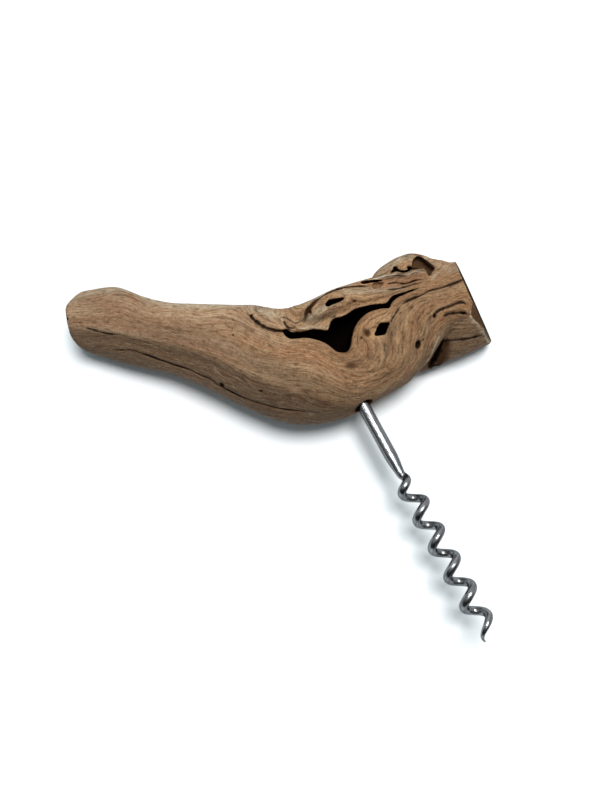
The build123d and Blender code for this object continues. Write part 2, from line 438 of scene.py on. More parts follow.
# Trunk: middle in plan, heading of the grain, half width, half height, and how high the underside
# would be over the table if it weren't worn flat
trunkStations = [
    (-85.7, 80.4, -20, 10.9, 10.6, -0.3),
    (-75.3, 76.1, -21, 12.2, 11.2, -0.5),
    (-65.8, 70.2, -23, 14.2, 11.7, -0.1),
    (-57.4, 61.9, -25, 13.3, 11.7, 0.6),
    (-50.7, 55.9, -27, 13.1, 12.1, 1.2),
    (-42.5, 49.1, -30, 14.7, 13.0, 1.2),
    (-34.1, 41.6, -32, 17.0, 14.2, 0.9),
    (-25.8, 33.5, -29, 19.5, 15.6, 0.4),
    (-16.8, 24.3, -22, 20.1, 16.8, -0.2),
    (-4.2, 19.3, -11, 20.1, 17.4, -0.6),
    (8.8, 18.9, -5, 19.0, 17.3, -0.6),
    (22.0, 19.6, -1, 17.9, 16.4, -0.4),
    (33.5, 21.9, 2, 14.3, 15.2, -0.4),
    (44.5, 22.0, 2, 13.1, 14.4, -0.6),
    (57.0, 22.0, 2, 12.6, 13.9, -0.7),
    (70.0, 21.9, 2, 12.2, 13.4, -0.8),
]

# Strands grown over the trunk: middles of upright ovals, half width, half height
strands = {
    "back": [
        (-21.0, 43.2, -1.0, 3.5, 5.0),
        (-12.0, 38.6, 3.0, 5.6, 7.0),
        (-3.0, 35.8, 5.0, 6.3, 8.0),
        (8.0, 35.3, 5.0, 6.5, 7.8),
        (18.0, 34.7, 3.5, 6.5, 7.6),
        (28.0, 33.8, 1.5, 6.0, 8.0),
        (40.0, 29.0, -4.0, 4.0, 6.0),
    ],
    "knob": [
        (20.5, 32.5, -5.2, 3.7, 5.8),
        (28.0, 37.2, -5.0, 6.9, 9.0),
        (35.5, 38.2, -4.0, 7.7, 10.0),
        (43.0, 37.0, -3.0, 7.8, 10.0),
        (49.8, 32.3, -3.5, 6.8, 9.8),
        (56.0, 28.3, -4.0, 6.1, 9.4),
        (63.0, 26.6, -4.2, 5.8, 9.2),
        (70.0, 26.0, -4.5, 5.8, 9.0),
    ],
    "lobe": [
        (24.5, 9.8, -9.0, 4.5, 4.0),
        (31.5, 10.8, -9.4, 7.5, 6.6),
        (38.5, 11.4, -8.0, 8.5, 9.0),
        (45.5, 11.1, -7.2, 9.1, 10.3),
        (52.5, 11.1, -7.1, 9.3, 10.5),
        (61.0, 11.4, -7.0, 9.5, 10.6),
        (70.0, 11.6, -7.0, 9.6, 10.8),
    ],
    "front": [
        (-10.0, 31.4, 8.6, 2.6, 4.0),
        (-4.0, 32.7, 10.4, 3.9, 4.2),
        (2.0, 33.5, 10.8, 4.3, 4.2),
        (8.0, 33.5, 10.8, 4.2, 4.2),
        (14.0, 32.6, 10.0, 3.8, 4.2),
        (20.0, 31.3, 9.6, 3.1, 4.2),
        (26.0, 29.9, 8.9, 2.5, 4.1),
        (32.0, 28.9, 7.2, 2.0, 3.8),
    ],
    "arm": [
        (3.0, 17.0, 10.4, 2.0, 4.2),
        (9.0, 21.6, 12.0, 2.9, 4.4),
        (15.0, 23.0, 11.9, 3.0, 4.4),
        (21.0, 22.9, 11.4, 2.7, 4.4),
        (27.0, 24.7, 10.5, 2.2, 4.1),
        (33.0, 25.6, 8.9, 1.9, 3.9),
        (39.0, 26.0, 5.9, 1.6, 3.6),
    ],
    "heel": [
        (-21.0, 45.4, 4.2, 3.6, 4.6),
        (-19.0, 42.0, 7.6, 4.2, 4.6),
        (-17.0, 38.8, 8.5, 4.2, 4.6),
        (-15.0, 35.8, 8.6, 3.6, 4.6),
        (-13.0, 33.0, 8.2, 2.8, 4.4),
    ],
    "band": [
        (14.0, 8.2, 7.6, 2.4, 4.0),
        (20.0, 13.3, 10.3, 3.3, 4.0),
        (26.0, 18.3, 10.6, 3.5, 4.0),
        (32.0, 20.1, 9.3, 3.3, 4.0),
        (38.0, 20.4, 8.0, 3.1, 4.0),
        (44.0, 19.8, 6.8, 2.9, 4.0),
        (50.0, 18.6, 5.2, 2.6, 4.0),
        (56.0, 17.4, 3.4, 2.4, 4.0),
    ],
    "rim": [
        (24.0, 4.6, -5.6, 1.2, 2.4),
        (28.0, 5.4, -1.1, 1.7, 2.8),
        (32.0, 7.7, 2.3, 1.8, 2.8),
        (36.0, 9.8, 2.7, 1.7, 2.8),
        (40.0, 11.4, 1.8, 1.3, 2.8),
    ],
}
strandBlend = {
    "back": 1.6,
    "knob": 1.0,
    "lobe": 0.5,
    "front": 1.0,
    "arm": 1.2,
    "heel": 1.0,
    "band": 1.2,
    "rim": 0.8,
}

# Sawn and broken ends: a point on each cut, the way it faces, and how far its edge is worn round
cutFaces = {
    "narrowEnd": ((-81.0, 78.6, -7.0), (-0.967, 0.255, 0.0), 2.0),
    "narrowSide": ((-82.9, 71.2, -8.0), (-0.920, -0.319, -0.213), 2.5),
    "wideEnd": ((56.8, 16.5, -4.0), (0.915, -0.13, 0.385), 0.4),
    "fresh": ((51.8, 2.7, -0.8), (0.779, -0.463, 0.421), 0.3),
    "bevel": ((-79.4, 82.0, -1.0), (-0.572, 0.82, 0.0), 1.2),
}
sawnCuts = ("narrowEnd", "narrowSide", "wideEnd")  # dark end grain, darkened further as painted shade
boreSize = {
    "radius": 3.1,
    "depth": 16.0,
    "pointAngle": 118.0,
    "mouthWorn": 0.45,  # wider than the drill at the mouth, and none at mouthDepth
    "mouthDepth": 2.5,
    "mouthShadeRadius": 3.9,  # painted shade on the wood round the hole's mouth
    "mouthShadeEdge": 0.7,
}
girthRadius = 15.0  # a turn round the trunk is counted in millimetres at this radius
strandStep = 0.5  # between points along the trunk and the strands
strokeStep = 0.7  # between points along drawn lines
strokeReach = 6.0  # how far from its line a stroke is worked out

# Marks on the upper side are drawn on a plane that leans as the eye does: a point's first number
# runs to the right in the view, and its second one up it. A hollow has its outline where it opens on
# the skin, that opening's height, the height of its floor, the share by which it narrows to the
# floor, how its rim is rounded, how deep its shadow begins and how fast it grows, and its darkness.
hollowTop = 20.0  # above all of the wood
hollows = {
    "rift": {
        "outline": [
            (-28.4, 25.6), (-27.7, 24.0), (-26.3, 22.8), (-23.9, 22.6), (-21.5, 22.9), (-18.8, 22.7),
            (-15.4, 21.8), (-13.0, 20.6), (-11.4, 19.3), (-10.0, 18.1), (-8.3, 17.7), (-6.3, 17.9),
            (-5.3, 19.0), (-4.7, 21.0), (-4.2, 23.8), (-3.4, 26.3), (-2.0, 28.8), (-0.2, 30.8),
            (2.0, 32.3), (4.1, 33.0), (6.5, 33.5), (8.9, 33.6), (9.9, 35.5), (11.3, 37.3), (13.0, 38.4),
            (15.2, 39.3), (17.2, 40.2), (19.1, 41.2), (16.8, 40.6), (14.6, 39.7), (12.7, 39.1),
            (10.9, 38.5), (9.3, 36.9), (8.1, 35.6), (5.7, 35.4), (2.9, 35.1), (0.2, 34.5), (-2.3, 33.8),
            (-4.1, 32.9), (-5.9, 31.6), (-8.3, 30.5), (-10.4, 30.0), (-11.5, 29.0), (-12.1, 27.5),
            (-12.6, 25.8), (-15.3, 25.9), (-18.1, 26.1), (-20.8, 25.4), (-23.2, 25.1), (-25.6, 25.1),
            (-27.4, 26.3),
        ],
        "level": 14.8, "floor": -2.0, "narrowing": 0.04, "blend": 0.7, "shadow": (0.3, 5.0), "darkness": 1.0,
    },
    "diamond": {
        "outline": [
            (3.2, 23.7), (3.8, 25.6), (4.5, 27.2), (5.3, 28.2), (7.2, 28.4), (8.9, 28.6), (8.4, 27.2),
            (7.8, 25.7), (7.1, 24.2), (5.5, 23.8),
        ],
        "level": 15.2, "floor": 5.0, "narrowing": 0.05, "blend": 0.35, "shadow": (0.8, 5.0), "darkness": 1.0,
    },
    "slot": {
        "outline": [
            (-13.5, 34.4), (-12.9, 36.0), (-12.1, 36.8), (-10.4, 37.1), (-8.3, 37.4), (-6.5, 37.5),
            (-7.2, 36.5), (-9.0, 35.5), (-11.1, 34.6), (-12.8, 34.0),
        ],
        "level": 15.0, "floor": 8.0, "narrowing": 0.05, "blend": 0.4, "shadow": (0.5, 3.5), "darkness": 1.0,
    },
    "shell": {
        "outline": [
            (17.6, 50.7), (17.9, 52.5), (18.8, 54.4), (20.6, 55.9), (22.4, 55.3), (24.0, 53.9),
            (25.8, 52.2), (27.3, 50.9), (28.4, 49.6), (27.0, 47.6), (25.3, 45.5), (24.6, 47.2),
            (23.6, 48.8), (21.4, 49.3), (19.3, 49.0), (18.0, 49.0),
        ],
        "level": 7.0, "floor": 2.5, "narrowing": 0.28, "blend": 0.4, "shadow": (0.2, 2.0), "darkness": 0.36,
    },
    "burrows": {
        "outline": [
            (10.1, 48.3), (11.4, 49.3), (11.9, 50.4), (13.0, 50.7), (13.6, 49.8), (14.6, 49.1),
            (16.4, 49.0), (17.6, 49.7), (17.8, 50.6), (18.5, 50.2), (18.4, 49.0), (16.7, 48.1),
            (14.6, 48.0), (13.0, 48.5), (11.6, 48.3),
        ],
        "level": 6.0, "floor": 2.5, "narrowing": 0.1, "blend": 0.3, "shadow": (0.3, 2.0), "darkness": 0.85,
    },
    "pocket": {
        "outline": [
            (3.0, 43.3), (4.9, 44.2), (7.1, 44.2), (8.7, 43.9), (7.8, 42.7), (6.5, 41.2), (5.0, 40.5),
            (3.4, 41.0), (2.8, 42.2),
        ],
        "level": 11.0, "floor": 8.2, "narrowing": 0.35, "blend": 0.5, "shadow": (0.2, 6.0), "darkness": 0.5,
    },
    "chip": {  # broken out of the sawn edge
        "outline": [
            (40.6, 38.4), (39.5, 34.8), (39.7, 32.8), (40.7, 31.1), (42.4, 29.6), (44.2, 28.4),
            (46.0, 28.0), (52.0, 30.0), (50.0, 40.0), (43.0, 41.0),
        ],
        "level": 4.0, "floor": -0.5, "narrowing": 0.0, "blend": 0.25, "shadow": (-2.0, 2.5), "darkness": 0.34,
    },
    "flake": {
        "outline": [
            (-1.0, 43.5), (0.2, 44.4), (2.8, 44.7), (5.0, 44.9), (8.0, 44.5), (5.6, 43.9), (2.7, 43.5),
            (0.5, 43.0),
        ],
        "level": 11.0, "floor": 7.8, "narrowing": 0.1, "blend": 0.3, "shadow": (0.3, 2.5), "darkness": 0.9,
    },
}

# Lines cut into the surface: V grooves, each with a half width and a depth
reliefLines = {
    "longCrack": {
        "points": [
            (-86.0, 20.0), (-79.7, 18.6), (-72.3, 16.1), (-66.8, 14.2), (-61.2, 12.4), (-57.6, 10.6),
            (-53.9, 9.1), (-51.1, 7.0), (-46.8, 4.9), (-43.2, 3.1), (-39.6, 1.7), (-34.3, 0.0),
            (-28.0, -1.4), (-22.2, -2.1), (-14.0, -3.4),
        ],
        "width": 0.42, "depth": 1.5,
    },
    "strandCrack": {
        "points": [
            (-40.2, 32.0), (-39.2, 30.7), (-38.0, 29.5), (-36.2, 28.1), (-34.0, 26.7), (-31.9, 26.0),
            (-29.8, 25.5), (-28.1, 25.3),
        ],
        "width": 0.85, "depth": 2,
    },
    "limbCrack": {
        "points": [
            (12.8, 33.9), (13.4, 34.9), (14.6, 35.9), (16.5, 36.9), (18.7, 37.9), (21.0, 38.9),
            (23.2, 40.2), (24.7, 40.8), (27.0, 41.4), (31.4, 42.8), (41.9, 47.6),
        ],
        "width": 0.55, "depth": 1.4,
    },
    "limbCrackLow": {
        "points": [(8.9, 28.0), (9.3, 28.8), (10.3, 30.8), (11.9, 33.1), (13.0, 34.7)],
        "width": 0.4, "depth": 1,
    },
    "loopGroove": {
        "points": [
            (25.0, 31.3), (26.2, 32.8), (27.7, 33.7), (29.5, 34.3), (31.4, 35.1), (33.3, 36.0),
            (35.3, 36.5), (36.8, 36.2), (37.6, 35.0),
        ],
        "width": 0.65, "depth": 1.2,
    },
    "loopInner": {
        "points": [(28.1, 31.2), (30.4, 32.2), (33.2, 32.7), (35.8, 33.0), (37.4, 32.8), (38.4, 32.0)],
        "width": 0.65, "depth": 1.2,
    },
    "lobeCrack": {
        "points": [
            (27.7, 22.4), (31.3, 23.2), (34.0, 23.4), (36.9, 23.7), (39.5, 24.1), (43.3, 25.1),
            (45.0, 25.6),
        ],
        "width": 0.55, "depth": 1.3,
    },
    "dash": {
        "points": [(-42.9, 22.1), (-39.3, 20.2), (-35.1, 18.1), (-30.7, 16.8), (-26.9, 16.3)],
        "width": 0.35, "depth": 0.45,
    },
    "bellyLine": {
        "points": [(-35.2, 23.0), (-30.7, 20.5), (-25.6, 18.9), (-20.2, 18.0)],
        "width": 0.3, "depth": 0.35,
    },
    "endTick": {
        "points": [(-105.0, 29.9), (-102.8, 29.7), (-100.2, 29.4)],
        "width": 0.35, "depth": 0.6,
    },
    "endBrown": {
        "points": [(-100.1, 27.9), (-97.1, 27.1), (-94.1, 26.2), (-90.3, 25.4), (-86.9, 24.9)],
        "width": 0.55, "depth": 0.9,
    },
    "crackStart": {
        "points": [(-90.3, 19.9), (-87.2, 19.8), (-83.3, 19.8), (-81.0, 19.3), (-79.0, 18.4)],
        "width": 0.35, "depth": 0.7,
    },
    "brownLine": {
        "points": [(-12.8, 9.8), (-9.3, 7.5), (-5.2, 5.5)],
        "width": 0.3, "depth": 0.25,
    },
    "layerLine": {
        "points": [(7.7, 40.4), (11.3, 40.8), (14.7, 41.8), (17.5, 42.9), (20.1, 43.7), (23.4, 44.5)],
        "width": 0.5, "depth": 1,
    },
    "backGroove": {
        "points": [
            (-21.1, 29.5), (-20.6, 31.8), (-19.4, 33.6), (-18.3, 34.8), (-17.3, 35.9), (-15.9, 37.0),
            (-14.1, 38.4), (-11.6, 39.9), (-9.4, 40.9), (-7.6, 41.4), (-5.8, 41.8), (-3.6, 42.0),
            (-0.8, 42.2), (2.0, 42.2), (4.4, 42.1),
        ],
        "width": 0.6, "depth": 1.2,
    },
    # a wide groove along the rim of the overhang; its dark colour is painted shade under the overhang
    "overhangCrease": {
        "points": [(31.2, 24.2), (30.4, 22.3), (29.3, 20.6), (28.2, 18.6), (26.8, 16.0), (25.4, 13.4)],
        "width": 1.5, "depth": 2.2,
    },
    "riftTail": {
        "points": [(8.6, 34.8), (10.4, 36.9), (13.0, 38.7), (15.9, 39.8), (19.1, 41.2), (21.5, 42.0)],
        "width": 0.5, "depth": 1.8,
    },
    "tongueEdge": {
        "points": [(-28.0, 29.4), (-26.9, 26.9), (-24.9, 25.6)],
        "width": 0.4, "depth": 0.7,
    },
    "tongueCurl": {
        "points": [
            (-29.2, 30.9), (-27.0, 30.5), (-25.3, 29.4), (-24.3, 28.6), (-22.8, 28.8), (-21.5, 29.8),
        ],
        "width": 0.4, "depth": 0.6,
    },
    "tongueInner": {
        "points": [(-25.6, 28.1), (-24.3, 27.1), (-22.9, 26.6)],
        "width": 0.4, "depth": 0.6,
    },
    "layerTop": {
        "points": [(7.9, 45.7), (10.1, 46.3), (12.8, 47.2), (15.4, 46.9), (17.9, 47.2)],
        "width": 0.4, "depth": 0.7,
    },
    "layerMiddle": {
        "points": [(8.0, 42.9), (11.6, 43.7), (16.7, 43.7), (18.9, 44.7), (21.2, 45.2), (23.2, 44.9)],
        "width": 0.45, "depth": 0.8,
    },
    "limbLineA": {
        "points": [(12.4, 32.4), (15.8, 34.4), (19.4, 35.9), (23.0, 37.3), (28.4, 38.6), (34.6, 40.0)],
        "width": 0.25, "depth": 0.3,
    },
    "limbLineB": {
        "points": [(14.0, 29.8), (16.6, 32.8), (20.2, 34.6), (25.0, 36.2), (30.4, 37.6), (37.4, 37.6)],
        "width": 0.25, "depth": 0.3,
    },
    "tongueLine": {
        "points": [(-28.1, 29.8), (-26.3, 26.9), (-23.2, 26.3)],
        "width": 0.5, "depth": 0.7,
    },
}

# Rounded ribs of the surface: each point has a half width and a height
reliefRidges = {
    "outerLayer": [
        (-23.9, 32.4, 1.4, 0.3), (-20.8, 34.2, 1.3, 0.6), (-16.4, 36.8, 1.1, 0.6), (-11.2, 40.1, 0.9, 0.5),
        (-5.0, 42.4, 0.9, 0.4), (2.8, 43.5, 0.9, 0.2),
    ],
    "tongue": [
        (-28.1, 29.4, 1.0, 0.6), (-25.6, 27.4, 1.4, 1.2), (-22.9, 26.6, 1.2, 1.2), (-19.7, 26.8, 1.0, 0.9),
    ],
    "frontStrand": [
        (-21.1, 26.8, 1.4, 0.3), (-18.2, 28.4, 2.4, 0.7), (-14.5, 31.0, 3.0, 0.8), (-10.6, 33.2, 2.6, 0.6),
        (-6.0, 34.6, 2.0, 0.3),
    ],
    "backSwell": [
        (-35.7, 34.1, 2.0, 0.2), (-33.6, 33.7, 2.4, 0.8), (-31.1, 32.8, 2.6, 1.2), (-28.9, 32.7, 2.2, 0.8),
        (-26.8, 32.9, 1.4, 0.2),
    ],
    "armFoot": [
        (-4.6, 16.6, 2.7, 0.2), (-3.0, 20.4, 2.8, 0.4), (-1.6, 24.6, 2.6, 0.5), (0.4, 27.9, 2.2, 0.3),
    ],
    "knobCrest": [
        (6.1, 45.1, 0.7, 0.3), (8.1, 46.3, 0.9, 1.0), (10.7, 46.6, 0.9, 1.2), (13.3, 48.3, 0.9, 1.3),
        (16.1, 47.7, 0.9, 1.3), (18.7, 48.6, 0.9, 1.2), (23.5, 49.1, 0.9, 1.0), (26.1, 46.4, 0.9, 0.5),
    ],
    "knobLayer": [
        (7.8, 43.2, 1.4, 0.3), (12.3, 44.5, 1.7, 0.8), (17.6, 45.9, 1.7, 1.0), (23.9, 47.3, 1.4, 0.6),
        (28.5, 46.6, 1.0, 0.2),
    ],
    "frontEdge": [
        (-105.6, 27.1, 2.0, 0.2), (-94.1, 26.6, 2.4, 0.6), (-83.0, 25.0, 2.7, 0.8), (-71.8, 22.6, 2.7, 0.8),
        (-57.1, 18.8, 2.7, 0.9), (-48.1, 15.2, 2.7, 0.9), (-41.0, 11.7, 2.4, 0.7), (-29.0, 7.2, 2.0, 0.2),
    ],
    "loopRib": [
        (27.4, 32.9, 1.0, 0.2), (31.2, 33.9, 1.0, 0.6), (34.9, 34.4, 1.0, 0.7), (38.2, 33.5, 1.0, 0.3),
    ],
    "riftLip": [
        (-28.0, 21.5, 1.4, 0.2), (-23.5, 21.2, 1.7, 0.6), (-17.1, 20.4, 1.7, 0.7), (-12.0, 18.0, 1.7, 0.7),
        (-7.7, 16.3, 1.7, 0.5), (-4.2, 17.3, 1.4, 0.2),
    ],
}

# Knots and small holes: middle, half sizes, turn in degrees, depth, darkness, and how far the grain
# swings round them. A knot's darkness is its own colour; a small hole's darkness is painted shade.
spots = [
    (0.7, 24.6, 1.2, 1.5, 20, 0.4, 0.42, 1.0),
    (-1.4, 22.8, 0.5, 0.6, 0, 0.3, 0.4, 0.6),
    (19.0, 21.1, 0.95, 1.4, -10, 2.2, 0.8, 1.6),
    (-3.2, 36.2, 0.8, 0.6, 0, 0.3, 0.5, 0.6),
    (-18.7, 32.4, 0.5, 0.7, 10, 0.6, 0.8, 0.5),
    (12.7, 50.2, 0.6, 0.5, 0, 1.2, 1.0, 0.0),
    (15.4, 48.6, 0.8, 0.5, 0, 1.0, 1.0, 0.0),
    (18.0, 49.9, 1.1, 0.6, -20, 1.5, 1.0, 0.0),
    (-39.3, 31.5, 0.45, 0.45, 0, 0.8, 0.9, 0.0),
    (-45.4, 24.3, 0.3, 0.35, 0, 0.3, 0.8, 0.0),
    (-35.6, 4.8, 0.8, 0.3, -15, 0.5, 0.9, 0.0),
    (-106.6, 31.2, 0.5, 0.5, 0, 0.6, 0.9, 0.0),
    (25.2, 31.5, 0.55, 0.8, -20, 0.8, 1.0, 0.0),
    (36.6, 32.9, 0.9, 0.4, 0, 0.6, 0.9, 0.0),
    (-5.0, 13.2, 2.0, 1.3, -10, 0.2, 0.3, 0.8),
    (28.1, 14.2, 1.2, 0.6, 10, 0.5, 0.6, 0.0),
    (-49.6, 7.0, 1.0, 0.6, -35, 0.9, 0.8, 0.0),
]

